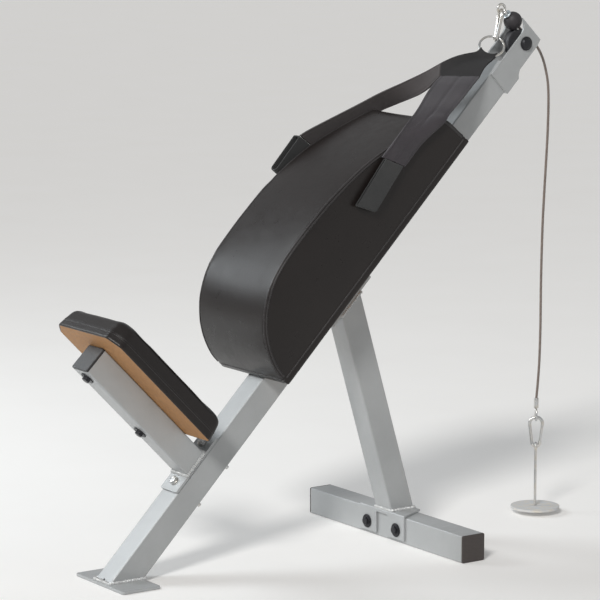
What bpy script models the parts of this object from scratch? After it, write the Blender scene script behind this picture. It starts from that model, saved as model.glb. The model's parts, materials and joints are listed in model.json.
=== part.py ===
"""An ab and triceps bench with a padded harness and a hanging weight pin.

Metres, +Z up. The origin is the centre of the front foot plate's underside, on the floor.
+X runs from the front foot to the rear stabiliser, and Y = 0 is the frame's middle plane.
"""
import math

import bmesh
import bpy
import numpy as np
from mathutils import Matrix, Vector

for leftover in list(bpy.data.objects):
    bpy.data.objects.remove(leftover, do_unlink=True)

# Fits
touchGap = 0.0003
holeClearance = 0.0003
plugClearance = 0.0003

# Square tube stock of the beam, the leg, the seat tube and the stabiliser
tubeSide = 0.0635
tubeWall = 0.0025
tubeCornerRadius = 0.004

# Front foot and main beam
footPlateLength = 0.098
footPlateWidth = 0.206
footPlateThickness = 0.0065
footPlateCornerRadius = 0.008
beamAngle = math.radians(45.70)
beamFootX = -0.040
beamLength = 1.545
drainHoleRadius = 0.0045
drainHoleAlong = 0.005

# Bolts and nuts of the frame
boltRadius = 0.005
boltHexSide = 0.017
boltHeadHeight = 0.0065
boltWasherRadius = 0.0105
boltWasherThickness = 0.002
nutHeight = 0.008
threadPastNut = 0.004
wideWasherRadius = 0.016

# Seat
seatAlong = 0.300
seatAngle = math.radians(45.68)
seatTubeReach = 0.370
seatCapHead = 0.006
capPlugDepth = 0.018
seatPlateBelowSeat = 0.0465
seatPlateStart = seatAlong - seatPlateBelowSeat
seatPlateLength = 0.1565
seatPlateWidth = 0.066
seatPlateThickness = 0.006
seatPlateBoltInset = 0.0245
seatBoardThickness = 0.0172
seatStart = 0.072
seatLength = 0.358
seatWidth = 0.264
seatPadHeight = 0.0412
seatCrown = 0.003
seatCornerCut = 0.030
seatVinylRim = 0.004
seatBoltRear = 0.155
seatBoltFront = 0.345
seatBoltGrip = 0.010

# Back pad
padStart = 0.584
padLength = 0.719
padDepth = 0.212
padWidth = 0.270
padCrown = 0.006
padSideBulge = 0.006
padBoardThickness = 0.017
padVinylRim = 0.004
padBoltInset = 0.079
padBoltGrip = 0.010

# Rear leg, its top plate and the saddle over the stabiliser
legAngle = math.radians(73.43)
legTopAlong = 0.8245
legPlateLength = 0.153
legPlateWidth = 0.066
legPlateThickness = 0.006
legPlateBelowLeg = 0.0365
legPlateBoltInset = 0.020
weldNutHeight = 0.006
stabiliserLength = 0.600
stabiliserCapHead = 0.004
saddleThickness = 0.005
saddleFrontWidth = 0.174
saddleRearWidth = 0.100
saddleNotchWidth = 0.044
saddleTabDrop = 0.056
saddleSetBack = 0.0015
saddleBoltSpacing = 0.114
saddleBoltHeight = 0.030
saddleOverhang = 0.004

# Pulley bracket at the beam's upper end
cheekThickness = 0.005
bracketOverlap = 0.043
bracketWebLength = 0.048
axlePastBeam = 0.0774
axleBehindFront = 0.0262
cheekFrontStep = 0.001
axleRadius = 0.005
axleWasherRadius = 0.0165
axleDomeHeight = 0.007
spacerRadius = 0.008

# Pulley and cable
cableRadius = 0.003175
pulleyRadius = 0.032
pulleyGrooveRadius = 0.0288
pulleyWidth = 0.020
pulleySeatRadius = 0.0323
bearingRadius = 0.008
bearingOverhang = 0.001
cableSlope = math.radians(-40.5)
stopBallRadius = 0.022
stopBallSetOut = 0.0423
stopWasherRadius = 0.011
stopWasherThickness = 0.004
eyeFromBall = 0.046
eyeRingRadius = 0.0105
eyeWireRadius = 0.003
eyeShankRadius = 0.0055
eyeSocketDepth = 0.006

# Weight pin and what hangs at the cable's end
ferruleRadius = 0.0058
ferruleLength = 0.0248
loopWireRadius = 0.003
loopHeight = 0.0326
loopWidth = 0.021
hookHeight = 0.080
hookWireRadius = 0.004
hookTopRadius = 0.0157
hookLowRadius = 0.0095
hookGateRadius = 0.00325
hookGateLow = 0.08
hookGateHigh = 0.90
hookGateGap = 0.0004
pinEyeRadius = 0.008
pinEyeWire = 0.00325
pinRadius = 0.00325
pinDrop = 0.147
discRadius = 0.0595
discThickness = 0.005
discAboveFloor = 0.0115
viewYaw = math.radians(-34.55)

# Front hook, ring and harness
frontHookYaw = math.radians(65.5)
frontHookLean = math.radians(13.5)
hangGap = 0.0004
ringRadius = 0.02925
ringWireRadius = 0.00275
ringLinkAngle = math.radians(67.9)
ringWrapAngle = math.radians(245.0)
ringWrapHalfArc = math.radians(45.0)
webbingThickness = 0.0025
yokeThickness = 0.0056
strapThickness = 0.007
strapPadClearance = 0.0012
loopWebbingWidth = 0.050
nearLoopGap = 0.006
farLoopGap = 0.020
nearSeamGap = 0.0016
farSeamGap = 0.0026
nearHandSeamGap = 0.00065
farHandSeamGap = 0.00035


def material(name, colour, roughness, metallic=0.0):
    made = bpy.data.materials.new(name)
    made.use_nodes = True
    shader = made.node_tree.nodes["Principled BSDF"]
    shader.inputs["Base Color"].default_value = (*colour, 1.0)
    shader.inputs["Roughness"].default_value = roughness
    shader.inputs["Metallic"].default_value = metallic
    made.diffuse_color = (*colour, 1.0)
    return made


finishes = {
    "paint": ((0.60, 0.61, 0.61), 0.38, 0.35),
    "vinyl": ((0.035, 0.034, 0.036), 0.38, 0.0),
    "board": ((0.56, 0.36, 0.19), 0.62, 0.0),
    "zinc": ((0.70, 0.71, 0.72), 0.28, 1.0),
    "blackSteel": ((0.045, 0.045, 0.05), 0.42, 0.6),
    "blackPlastic": ((0.04, 0.04, 0.042), 0.5, 0.0),
    "capPlastic": ((0.17, 0.145, 0.14), 0.55, 0.0),
    "rubber": ((0.05, 0.048, 0.05), 0.6, 0.0),
    "nylon": ((0.10, 0.10, 0.11), 0.45, 0.0),
    "cable": ((0.20, 0.16, 0.14), 0.45, 0.0),
    "webbing": ((0.055, 0.05, 0.058), 0.85, 0.0),
    "bronze": ((0.55, 0.38, 0.20), 0.4, 1.0),
}


def frameAt(name, location, angle=0.0, parent=None, matrix=None):
    """An empty whose X axis is tilted up from world X by angle, in the middle plane."""
    made = bpy.data.objects.new(name, None)
    made.empty_display_size = 0.03
    bpy.context.scene.collection.objects.link(made)
    made.parent = parent
    if matrix is None:
        made.location = location
        made.rotation_euler = (0.0, -angle, 0.0)
    else:
        made.location = location
        made.rotation_euler = matrix.to_euler()
    return made


def place(name, mesh, finish, parent=None, location=(0, 0, 0), rotation=(0, 0, 0), smooth=None):
    made = bpy.data.objects.new(name, mesh)
    bpy.context.scene.collection.objects.link(made)
    made.parent = parent
    made.location = location
    made.rotation_euler = rotation
    if finish is not None:
        mesh.materials.append(material(name, *finishes[finish]))
    if smooth is not None and hasattr(mesh, "shade_smooth"):
        mesh.shade_smooth()
        mesh.set_sharp_from_angle(angle=math.radians(smooth))
    return made


def finishMesh(bm, name, merge=True):
    if merge:
        bmesh.ops.remove_doubles(bm, verts=bm.verts[:], dist=1e-6)
    bmesh.ops.recalc_face_normals(bm, faces=bm.faces[:])
    mesh = bpy.data.meshes.new(name)
    bm.to_mesh(mesh)
    bm.free()
    return mesh


def prism(name, outline, low, high, axis="y"):
    """A flat outline pushed through from low to high along Y (outline in X, Z) or along Z (in X, Y)."""
    bm = bmesh.new()
    if axis == "y":
        ring = [bm.verts.new((u, low, v)) for u, v in outline]
        push = (0, high - low, 0)
    else:
        ring = [bm.verts.new((u, v, low)) for u, v in outline]
        push = (0, 0, high - low)
    face = bm.faces.new(ring)
    grown = bmesh.ops.extrude_face_region(bm, geom=[face])
    moved = [item for item in grown["geom"] if isinstance(item, bmesh.types.BMVert)]
    bmesh.ops.translate(bm, verts=moved, vec=push)
    return finishMesh(bm, name)


def turned(name, profile, segments, axis="z"):
    """A profile of (radius, height) turned about the local axis, closed where it leaves the axis."""
    bm = bmesh.new()
    points = [bm.verts.new((radius, 0, height)) for radius, height in profile]
    edges = [bm.edges.new((a, b)) for a, b in zip(points, points[1:])]
    if profile[0][0] > 1e-9 or profile[-1][0] > 1e-9:
        edges.append(bm.edges.new((points[-1], points[0])))
    bmesh.ops.spin(bm, geom=points + edges, cent=(0, 0, 0), axis=(0, 0, 1), dvec=(0, 0, 0),
                   angle=2 * math.pi, steps=segments, use_duplicate=False)
    if axis == "y":
        bmesh.ops.rotate(bm, verts=bm.verts[:], cent=(0, 0, 0), matrix=Matrix.Rotation(math.pi / 2, 3, "X"))
    if axis == "x":
        bmesh.ops.rotate(bm, verts=bm.verts[:], cent=(0, 0, 0), matrix=Matrix.Rotation(math.pi / 2, 3, "Y"))
    return finishMesh(bm, name)


def roundedOutline(corners, radius, steps=3):
    """The outline of a convex polygon with each corner rounded."""
    points = []
    count = len(corners)
    for index in range(count):
        corner = Vector(corners[index])
        before = (Vector(corners[index - 1]) - corner).normalized()
        after = (Vector(corners[(index + 1) % count]) - corner).normalized()
        half = before.angle(after) / 2
        reach = radius / math.tan(half)
        centre = corner + (before + after).normalized() * radius / math.sin(half)
        first = corner + before * reach - centre
        last = corner + after * reach - centre
        for step in range(steps + 1):
            mix = step / steps
            spread = first.angle(last)
            part = (first * math.sin((1 - mix) * spread) + last * math.sin(mix * spread)) / math.sin(spread)
            points.append(tuple(centre + part))
    return points


def squareOutline(side, radius, steps=3):
    half = side / 2
    return roundedOutline([(-half, -half), (half, -half), (half, half), (-half, half)], radius, steps)


def squareTube(name, startAt, endAt, side, wall):
    """Square tube along local X with its front face at local Z = 0.

    startAt and endAt give the local X of each end as a function of local Z, so an end can be mitred.
    """
    bm = bmesh.new()
    loops = []
    for inset, radius in ((0.0, tubeCornerRadius), (wall, max(tubeCornerRadius - wall, 0.0008))):
        outline = squareOutline(side - 2 * inset, radius)
        for end in (startAt, endAt):
            loops.append([bm.verts.new((end(z - side / 2), y, z - side / 2)) for y, z in outline])
    count = len(loops[0])
    outerStart, outerEnd, innerStart, innerEnd = loops
    for index in range(count):
        after = (index + 1) % count
        bm.faces.new((outerStart[index], outerStart[after], outerEnd[after], outerEnd[index]))
        bm.faces.new((innerStart[index], innerEnd[index], innerEnd[after], innerStart[after]))
        bm.faces.new((outerStart[index], innerStart[index], innerStart[after], outerStart[after]))
        bm.faces.new((outerEnd[index], outerEnd[after], innerEnd[after], innerEnd[index]))
    return finishMesh(bm, name, merge=False)


def ringsMesh(name, rings, closed=False):
    """Skins a run of rings with equal point counts, capped at both ends or closed on itself."""
    bm = bmesh.new()
    loops = [[bm.verts.new(point) for point in ring] for ring in rings]
    count = len(loops[0])
    pairs = list(zip(loops, loops[1:]))
    if closed:
        pairs.append((loops[-1], loops[0]))
    for lower, upper in pairs:
        for index in range(count):
            after = (index + 1) % count
            bm.faces.new((lower[index], lower[after], upper[after], upper[index]))
    if not closed:
        bm.faces.new(loops[0])
        bm.faces.new(loops[-1])
    return finishMesh(bm, name, merge=False)


def circleRing(radius, height, segments):
    steps = [2 * math.pi * index / segments for index in range(segments)]
    return [(radius * math.cos(turn), radius * math.sin(turn), height) for turn in steps]


def hexRing(acrossFlats, height, segments):
    ring = []
    for index in range(segments):
        turn = 2 * math.pi * index / segments
        radius = acrossFlats / 2 / math.cos((turn % (math.pi / 3)) - math.pi / 6)
        ring.append((radius * math.cos(turn), radius * math.sin(turn), height))
    return ring


def boltMesh(name, shank, washerRadius=None, domed=False):
    """A bolt along local Z: its washer sits on Z = 0, the head rises to +Z and the shank runs down to -shank."""
    segments = 12
    washer = washerRadius or boltWasherRadius
    seat = boltWasherThickness
    rings = [circleRing(boltRadius - 0.0008, -shank, segments), circleRing(boltRadius, -shank + 0.001, segments),
             circleRing(boltRadius, 0.0, segments), circleRing(washer, 0.0, segments), circleRing(washer, seat, segments)]
    if domed:
        for share in (0.0, 0.4, 0.75, 0.95):
            rings.append(circleRing(washer * 0.86 * math.cos(share * math.pi / 2),
                                    seat + axleDomeHeight * math.sin(share * math.pi / 2), segments))
    else:
        rings.append(hexRing(boltHexSide, seat, segments))
        rings.append(hexRing(boltHexSide, seat + boltHeadHeight - 0.001, segments))
        rings.append(circleRing(boltHexSide / 2 - 0.0004, seat + boltHeadHeight, segments))
    return ringsMesh(name, rings)


def nutMesh(name, height, washer=True):
    """A nut bored for the shank, its washer seated on Z = 0 and its body rising to +Z."""
    segments = 12
    bore = boltRadius + holeClearance
    seat = boltWasherThickness if washer else 0.0
    rings = [circleRing(bore, 0.0, segments)]
    if washer:
        rings += [circleRing(boltWasherRadius, 0.0, segments), circleRing(boltWasherRadius, seat, segments)]
    rings += [hexRing(boltHexSide, seat, segments), hexRing(boltHexSide, seat + height - 0.001, segments),
              circleRing(boltHexSide / 2 - 0.0004, seat + height, segments), circleRing(bore, seat + height, segments)]
    return ringsMesh(name, rings, closed=True)


def cutHoles(target, parent, holes, extra=()):
    """Takes round holes out of target: each is a start, a direction, a length and a radius in the parent's frame."""
    bm = bmesh.new()
    for start, direction, length, radius in holes:
        toward = Vector(direction).normalized()
        centre = Vector(start) + toward * length / 2
        turn = toward.to_track_quat("Z", "Y").to_matrix().to_4x4()
        bmesh.ops.create_cone(bm, cap_ends=True, segments=18, radius1=radius, radius2=radius, depth=length,
                              matrix=Matrix.Translation(centre) @ turn)
    for mesh in extra:
        bm.from_mesh(mesh)
    cutterMesh = bpy.data.meshes.new(target.name + "_cut")
    bm.to_mesh(cutterMesh)
    bm.free()
    cutter = place(target.name + "_cut", cutterMesh, None, parent)
    cutter.hide_render = True
    cutter.display_type = "WIRE"
    cut = target.modifiers.new("holes", "BOOLEAN")
    cut.operation = "DIFFERENCE"
    cut.solver = "EXACT"
    cut.object = cutter
    return cutter


def curveTube(name, points, radius, finish, parent=None, location=(0, 0, 0), cyclic=False, resolution=2):
    """A round wire or cord through points that are already close together."""
    curve = bpy.data.curves.new(name, "CURVE")
    curve.dimensions = "3D"
    curve.bevel_depth = radius
    curve.bevel_resolution = resolution
    curve.use_fill_caps = not cyclic
    curve.twist_mode = "MINIMUM"
    spline = curve.splines.new("POLY")
    spline.points.add(len(points) - 1)
    for point, value in zip(spline.points, points):
        point.co = (*value, 1.0)
    spline.use_cyclic_u = cyclic
    curve.materials.append(material(name, *finishes[finish]))
    made = bpy.data.objects.new(name, curve)
    bpy.context.scene.collection.objects.link(made)
    made.parent = parent
    made.location = location
    return made


def smoothPath(route, count):
    """Evenly spaced points on a smooth curve through the route's points."""
    knots = [Vector(point) for point in route]
    padded = [knots[0] * 2 - knots[1]] + knots + [knots[-1] * 2 - knots[-2]]
    fine = []
    for index in range(1, len(padded) - 2):
        before, start, end, after = padded[index - 1:index + 3]
        for step in range(24):
            t = step / 24
            fine.append(0.5 * ((2 * start) + (end - before) * t + (2 * before - 5 * start + 4 * end - after) * t * t
                               + (3 * start - before - 3 * end + after) * t ** 3))
    fine.append(knots[-1])
    spans = [0.0]
    for first, second in zip(fine, fine[1:]):
        spans.append(spans[-1] + (second - first).length)
    marks = np.linspace(0.0, spans[-1], count)
    columns = [np.interp(marks, spans, [point[axis] for point in fine]) for axis in range(3)]
    return [Vector(values) for values in zip(*columns)]


# Frames of the tilted members
alongBeam = Vector((math.cos(beamAngle), 0, math.sin(beamAngle)))
frontOfBeam = Vector((-math.sin(beamAngle), 0, math.cos(beamAngle)))
sideways = Vector((0, 1, 0))
beamOrigin = Vector((beamFootX, 0, footPlateThickness))
beamFrame = frameAt("beam_frame", beamOrigin, beamAngle)


def onBeam(along, side, front):
    return beamOrigin + alongBeam * along + sideways * side + frontOfBeam * front


# Front foot plate
foot = roundedOutline([(-footPlateLength / 2, -footPlateWidth / 2), (footPlateLength / 2, -footPlateWidth / 2),
                       (footPlateLength / 2, footPlateWidth / 2), (-footPlateLength / 2, footPlateWidth / 2)],
                      footPlateCornerRadius, 5)
place("front_foot_plate", prism("front_foot_plate", foot, 0.0, footPlateThickness, "z"), "paint")

# Main beam, cut level above the foot plate
beam = place("main_beam", squareTube("main_beam",
                                     lambda z: touchGap / math.sin(beamAngle) - z / math.tan(beamAngle),
                                     lambda z: beamLength, tubeSide, tubeWall), "paint", beamFrame, smooth=30)
boltHole = boltRadius + holeClearance
seatPlateBolts = [seatPlateStart + seatPlateBoltInset, seatPlateStart + seatPlateLength - seatPlateBoltInset]
padBolts = [padStart + padBoltInset, padStart + padLength - padBoltInset]
legPlateStart = legTopAlong - legPlateBelowLeg
legBolts = [legPlateStart + legPlateBoltInset, legPlateStart + legPlateLength - legPlateBoltInset]
through = [((at, 0, 0.01), (0, 0, -1), tubeSide + 0.02, boltHole) for at in seatPlateBolts + padBolts]
through += [((at, 0, -tubeSide + 2 * tubeWall), (0, 0, -1), 3 * tubeWall, boltHole) for at in legBolts]
through.append(((drainHoleAlong, 0, 0.01), (0, 0, -1), 0.015, drainHoleRadius))
cutHoles(beam, beamFrame, through)

# Seat: a plate bolted to the beam's front, a tube, a board and a cushion
seatTurn = seatAngle - (math.pi / 2 - beamAngle)
seatPlateFront = touchGap + seatPlateThickness
seatPlate = place("seat_plate", prism("seat_plate", roundedOutline(
    [(seatPlateStart, -seatPlateWidth / 2), (seatPlateStart + seatPlateLength, -seatPlateWidth / 2),
     (seatPlateStart + seatPlateLength, seatPlateWidth / 2), (seatPlateStart, seatPlateWidth / 2)], 0.004, 3),
    touchGap, seatPlateFront, "z"), "paint", beamFrame)
cutHoles(seatPlate, beamFrame, [((at, 0, -0.005), (0, 0, 1), 0.02, boltHole) for at in seatPlateBolts])
plateStack = seatPlateThickness + tubeSide + 2 * touchGap
for label, at in zip(("lower", "upper"), seatPlateBolts):
    place("seat_plate_bolt_" + label, boltMesh("seat_plate_bolt_" + label, plateStack + boltWasherThickness + nutHeight
                                               + threadPastNut + 2 * touchGap),
          "zinc", beamFrame, (at, 0, seatPlateFront + touchGap), smooth=35)
    place("seat_plate_nut_" + label, nutMesh("seat_plate_nut_" + label, nutHeight), "zinc", beamFrame,
          (at, 0, -tubeSide - touchGap), (math.pi, 0, 0), smooth=35)

seatFrame = frameAt("seat_frame", onBeam(seatAlong, 0, 0), math.pi - seatAngle)
seatTube = place("seat_tube", squareTube(
    "seat_tube", lambda z: (seatPlateFront + touchGap) / math.cos(seatTurn) - z * math.tan(seatTurn),
    lambda z: seatTubeReach, tubeSide, tubeWall), "paint", seatFrame, smooth=30)
seatBolts = {"rear": seatBoltRear, "front": seatBoltFront}
cutHoles(seatTube, seatFrame, [((at, 0, 0.01), (0, 0, -1), tubeSide + 0.02, boltHole) for at in seatBolts.values()])


def plugMesh(name, headThickness, plugDepth):
    """A square end cap: the head from X = 0 outwards, the plug from X = 0 back into the tube."""
    outer = squareOutline(tubeSide, tubeCornerRadius)
    edge = squareOutline(tubeSide - 0.002, tubeCornerRadius - 0.001)
    inner = squareOutline(tubeSide - 2 * tubeWall - 2 * plugClearance, max(tubeCornerRadius - tubeWall, 0.0008))
    rings = [[(-plugDepth, y, z) for y, z in inner], [(0.0, y, z) for y, z in inner], [(0.0, y, z) for y, z in outer],
             [(headThickness - 0.001, y, z) for y, z in outer], [(headThickness, y, z) for y, z in edge]]
    return ringsMesh(name, rings)


place("seat_tube_cap", plugMesh("seat_tube_cap", seatCapHead, capPlugDepth), "blackPlastic", seatFrame,
      (seatTubeReach + touchGap, 0, -tubeSide / 2), smooth=35)
boardUnder = tubeSide + touchGap
boardTop = boardUnder + seatBoardThickness
seatEnd = seatStart + seatLength


def seatPlan(inset, cornerRadius):
    """The seat's plan outline in (X, Y), drawn in by inset, with its two front corners cut."""
    half = seatWidth / 2 - inset
    rear = seatStart + inset
    front = seatEnd - inset
    cut = seatCornerCut - 0.4 * inset
    return roundedOutline([(rear, -half), (front - cut, -half), (front, -half + cut), (front, half - cut),
                           (front - cut, half), (rear, half)], cornerRadius, 5)


board = place("seat_board", prism("seat_board", seatPlan(seatVinylRim, 0.010), -boardTop, -boardUnder, "z"),
              "board", seatFrame, smooth=30)
boltTip = boardUnder + seatBoltGrip
cutHoles(board, seatFrame, [((at, 0, -boardUnder + 0.005), (0, 0, -1), seatBoltGrip + 0.006, boltHole)
                            for at in seatBolts.values()])
for label, at in seatBolts.items():
    place("seat_bolt_" + label, boltMesh("seat_bolt_" + label, boltTip + touchGap, wideWasherRadius), "blackSteel",
          seatFrame, (at, 0, touchGap), smooth=35)

seatRings = []
seatSteps = [(boardUnder, 0.0012), (boardUnder + 0.0015, 0.0), (boardTop - 0.0015, 0.0), (boardTop + 0.0002, 0.0016),
             (boardTop + 0.0018, 0.0), (boardTop + 0.4 * seatPadHeight, -0.0022), (boardTop + 0.7 * seatPadHeight, 0.0006),
             (boardTop + 0.87 * seatPadHeight, 0.0055), (boardTop + 0.96 * seatPadHeight, 0.014),
             (boardTop + seatPadHeight, 0.028), (boardTop + seatPadHeight + 0.6 * seatCrown, 0.060),
             (boardTop + seatPadHeight + seatCrown, 0.100)]
for level, inset in seatSteps:
    seatRings.append([(x, y, -level) for x, y in seatPlan(inset, max(0.020 - 0.3 * inset, 0.006))])
seatPocket = prism("seat_pocket", seatPlan(seatVinylRim - touchGap, 0.010), -boardTop - touchGap, 0.0, "z")
seatCushion = place("seat_cushion", ringsMesh("seat_cushion", seatRings), "vinyl", seatFrame, smooth=40)
cutHoles(seatCushion, seatFrame, [], [seatPocket])

# Back pad: a D-shaped cushion over a flat board
padOutline = [(0.0000, 0.000), (0.0014, 0.203), (0.0195, 0.406), (0.0584, 0.623), (0.1210, 0.811), (0.2086, 0.940),
              (0.3310, 0.985), (0.4896, 0.976), (0.6259, 0.915), (0.7232, 0.838), (0.8317, 0.700), (0.9600, 0.505),
              (0.9850, 0.440), (0.9960, 0.250), (1.0000, 0.000)]


def padCurve(count):
    """The pad's front outline as (along, front) from its lower end to its upper end."""
    points = smoothPath([(padStart + u * padLength, 0, v * padDepth) for u, v in padOutline], count)
    return [(point.x, point.z) for point in points]


padFrontCurve = padCurve(240)


def padFrontAt(along):
    """How far the pad's front stands out at a place along the beam, or 0 beyond its ends."""
    best = 0.0
    for (a0, f0), (a1, f1) in zip(padFrontCurve, padFrontCurve[1:]):
        if min(a0, a1) <= along <= max(a0, a1) and abs(a1 - a0) > 1e-9:
            best = max(best, f0 + (f1 - f0) * (along - a0) / (a1 - a0))
    return best


padRear = touchGap
padHalf = padWidth / 2
curvePoints = padCurve(33)
curvePoints = [(a, max(f, padRear)) for a, f in curvePoints]
rearCount = 9
rearPoints = [(padStart + padLength * (1 - index / (rearCount + 1)), padRear) for index in range(1, rearCount + 1)]
outline = [Vector((a, 0, f)) for a, f in curvePoints + rearPoints]
middle = Vector((padStart + 0.48 * padLength, 0, 0.42 * padDepth))
padNormals = []
for index, point in enumerate(outline):
    tangent = outline[(index + 1) % len(outline)] - outline[index - 1]
    normal = Vector((-tangent.z, 0, tangent.x)).normalized()
    if normal.dot(point - middle) < 0:
        normal = -normal
    padNormals.append(normal)


def padWeight(point):
    """How much the crown swells at a point: nothing at the board, all of it past the band."""
    share = min(max((point.z - padRear - 0.5 * padBoardThickness) / (1.5 * padBoardThickness), 0.0), 1.0)
    return share * share * (3 - 2 * share)


def padRing(side, swell, share):
    ring = []
    for point, normal in zip(outline, padNormals):
        at = middle + (point - middle) * share + normal * swell * padWeight(point)
        ring.append((at.x, side, max(at.z, padRear)))
    return ring


padRings = []
for share in (0.30, 0.62, 0.85, 0.955):
    padRings.append(padRing(-padHalf - padSideBulge * (1 - share ** 3), 0.0, share))
padRings.append(padRing(-padHalf, -0.0008, 1.0))
for level in (0.985, 0.90, 0.55, 0.0, -0.55, -0.90, -0.985):
    padRings.append(padRing(-padHalf * level, padCrown * (1 - abs(level) ** 2.2), 1.0))
padRings.append(padRing(padHalf, -0.0008, 1.0))
for share in (0.955, 0.85, 0.62, 0.30):
    padRings.append(padRing(padHalf + padSideBulge * (1 - share ** 3), 0.0, share))
padBoardFront = padRear + padBoardThickness
boardHalf = padHalf - padVinylRim
boardEnds = (padStart + padVinylRim, padStart + padLength - padVinylRim)
pocket = prism("pad_pocket", [(boardEnds[0] - touchGap, -0.05), (boardEnds[1] + touchGap, -0.05),
                              (boardEnds[1] + touchGap, padBoardFront + touchGap),
                              (boardEnds[0] - touchGap, padBoardFront + touchGap)],
               -boardHalf - touchGap, boardHalf + touchGap)
padCushion = place("back_pad_cushion", ringsMesh("back_pad_cushion", padRings), "vinyl", beamFrame, smooth=40)
cutHoles(padCushion, beamFrame, [], [pocket])
padBoard = place("back_pad_board", prism("back_pad_board", [(boardEnds[0], padRear), (boardEnds[1], padRear),
                                                            (boardEnds[1], padBoardFront), (boardEnds[0], padBoardFront)],
                                         -boardHalf, boardHalf), "board", beamFrame)
cutHoles(padBoard, beamFrame, [((at, 0, -0.005), (0, 0, 1), 0.005 + padRear + padBoltGrip + 0.001, boltHole)
                               for at in padBolts])
for label, at in zip(("lower", "upper"), padBolts):
    place("pad_bolt_" + label, boltMesh("pad_bolt_" + label, touchGap + tubeSide + padRear + padBoltGrip),
          "blackSteel", beamFrame, (at, 0, -tubeSide - touchGap), (math.pi, 0, 0), smooth=35)

# Rear leg with its top plate under the beam
legPlateFace = tubeSide + 2 * touchGap + legPlateThickness
legPlate = place("leg_top_plate", prism("leg_top_plate", roundedOutline(
    [(legPlateStart, -legPlateWidth / 2), (legPlateStart + legPlateLength, -legPlateWidth / 2),
     (legPlateStart + legPlateLength, legPlateWidth / 2), (legPlateStart, legPlateWidth / 2)], 0.004, 3),
    -tubeSide - touchGap - legPlateThickness, -tubeSide - touchGap, "z"), "paint", beamFrame)
cutHoles(legPlate, beamFrame, [((at, 0, -tubeSide + 0.005), (0, 0, -1), 0.02, boltHole) for at in legBolts])
for label, at in zip(("lower", "upper"), legBolts):
    place("leg_bolt_" + label, boltMesh("leg_bolt_" + label, 2 * touchGap + legPlateThickness + tubeWall + weldNutHeight
                                        + threadPastNut), "blackSteel",
          beamFrame, (at, 0, -legPlateFace), (math.pi, 0, 0), smooth=35)
    place("leg_weld_nut_" + label, nutMesh("leg_weld_nut_" + label, weldNutHeight, washer=False), "zinc", beamFrame,
          (at, 0, -tubeSide + tubeWall + touchGap), smooth=35)

alongLeg = Vector((-math.cos(legAngle), 0, math.sin(legAngle)))
frontOfLeg = Vector((-math.sin(legAngle), 0, -math.cos(legAngle)))
legTopFront = onBeam(legTopAlong, 0, -legPlateFace)
saddleTop = tubeSide + touchGap + saddleThickness
legRun = (legTopFront.z - saddleTop - touchGap) / math.sin(legAngle)
legFrame = frameAt("leg_frame", legTopFront - alongLeg * legRun, math.pi - legAngle)
climb = alongLeg.dot(frontOfBeam)
lean = frontOfLeg.dot(frontOfBeam)
place("rear_leg", squareTube("rear_leg", lambda z: z / math.tan(legAngle), lambda z: legRun - z * lean / climb,
                             tubeSide, tubeWall), "paint", legFrame, smooth=30)

# Stabiliser on the floor, its caps and the saddle
legFootX = legFrame.location.x
legFootDepth = tubeSide / math.sin(legAngle)
stabiliserFront = legFootX - saddleSetBack + 0.0015
stabiliserFrame = frameAt("stabiliser_frame", (stabiliserFront, 0, 0))
stabiliser = place("rear_stabiliser", squareTube("rear_stabiliser", lambda z: -stabiliserLength / 2,
                                                 lambda z: stabiliserLength / 2, tubeSide, tubeWall), "paint",
                   stabiliserFrame, (tubeSide / 2, 0, tubeSide), (0, 0, math.pi / 2), smooth=30)
saddleBolts = {"near": -saddleBoltSpacing / 2, "far": saddleBoltSpacing / 2}
cutHoles(stabiliser, stabiliserFrame, [((-0.01, side, saddleBoltHeight), (1, 0, 0), tubeSide + 0.02, boltHole)
                                       for side in saddleBolts.values()])
for label, turn in (("near", -1), ("far", 1)):
    place("stabiliser_cap_" + label, plugMesh("stabiliser_cap_" + label, stabiliserCapHead, capPlugDepth), "capPlastic",
          stabiliserFrame, (tubeSide / 2, turn * (stabiliserLength / 2 + touchGap), tubeSide / 2),
          (0, 0, turn * math.pi / 2), smooth=35)

saddleDeep = legFootDepth + saddleOverhang
outerFace = -touchGap - saddleThickness
saddleProfile = [(outerFace, tubeSide + touchGap - saddleTabDrop), (-touchGap, tubeSide + touchGap - saddleTabDrop),
                 (-touchGap, tubeSide + touchGap), (saddleDeep, tubeSide + touchGap), (saddleDeep, saddleTop)]
for step in range(4):
    turn = math.pi / 2 + step * math.pi / 6
    saddleProfile.append((outerFace + 0.004 + 0.004 * math.cos(turn), saddleTop - 0.004 + 0.004 * math.sin(turn)))
saddle = place("leg_saddle", prism("leg_saddle", saddleProfile, -saddleFrontWidth / 2, saddleFrontWidth / 2), "paint",
               stabiliserFrame, smooth=30)
notch = prism("saddle_notch", [(outerFace - 0.01, tubeSide - saddleTabDrop - 0.02), (0.01, tubeSide - saddleTabDrop - 0.02),
                               (0.01, tubeSide - 0.004), (outerFace - 0.01, tubeSide - 0.004)],
              -saddleNotchWidth / 2, saddleNotchWidth / 2)
sideCuts = []
for turn in (-1, 1):
    wedge = [(0.0015, turn * saddleFrontWidth / 2), (saddleDeep + 0.001, turn * saddleRearWidth / 2),
             (saddleDeep + 0.02, turn * saddleRearWidth / 2), (saddleDeep + 0.02, turn * (saddleFrontWidth / 2 + 0.02)),
             (0.0015, turn * (saddleFrontWidth / 2 + 0.02))]
    sideCuts.append(prism("saddle_side", wedge, tubeSide - 0.01, saddleTop + 0.02, "z"))
cutHoles(saddle, stabiliserFrame, [((-0.02, side, saddleBoltHeight), (1, 0, 0), 0.04, boltHole)
                                   for side in saddleBolts.values()], [notch] + sideCuts)
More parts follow.
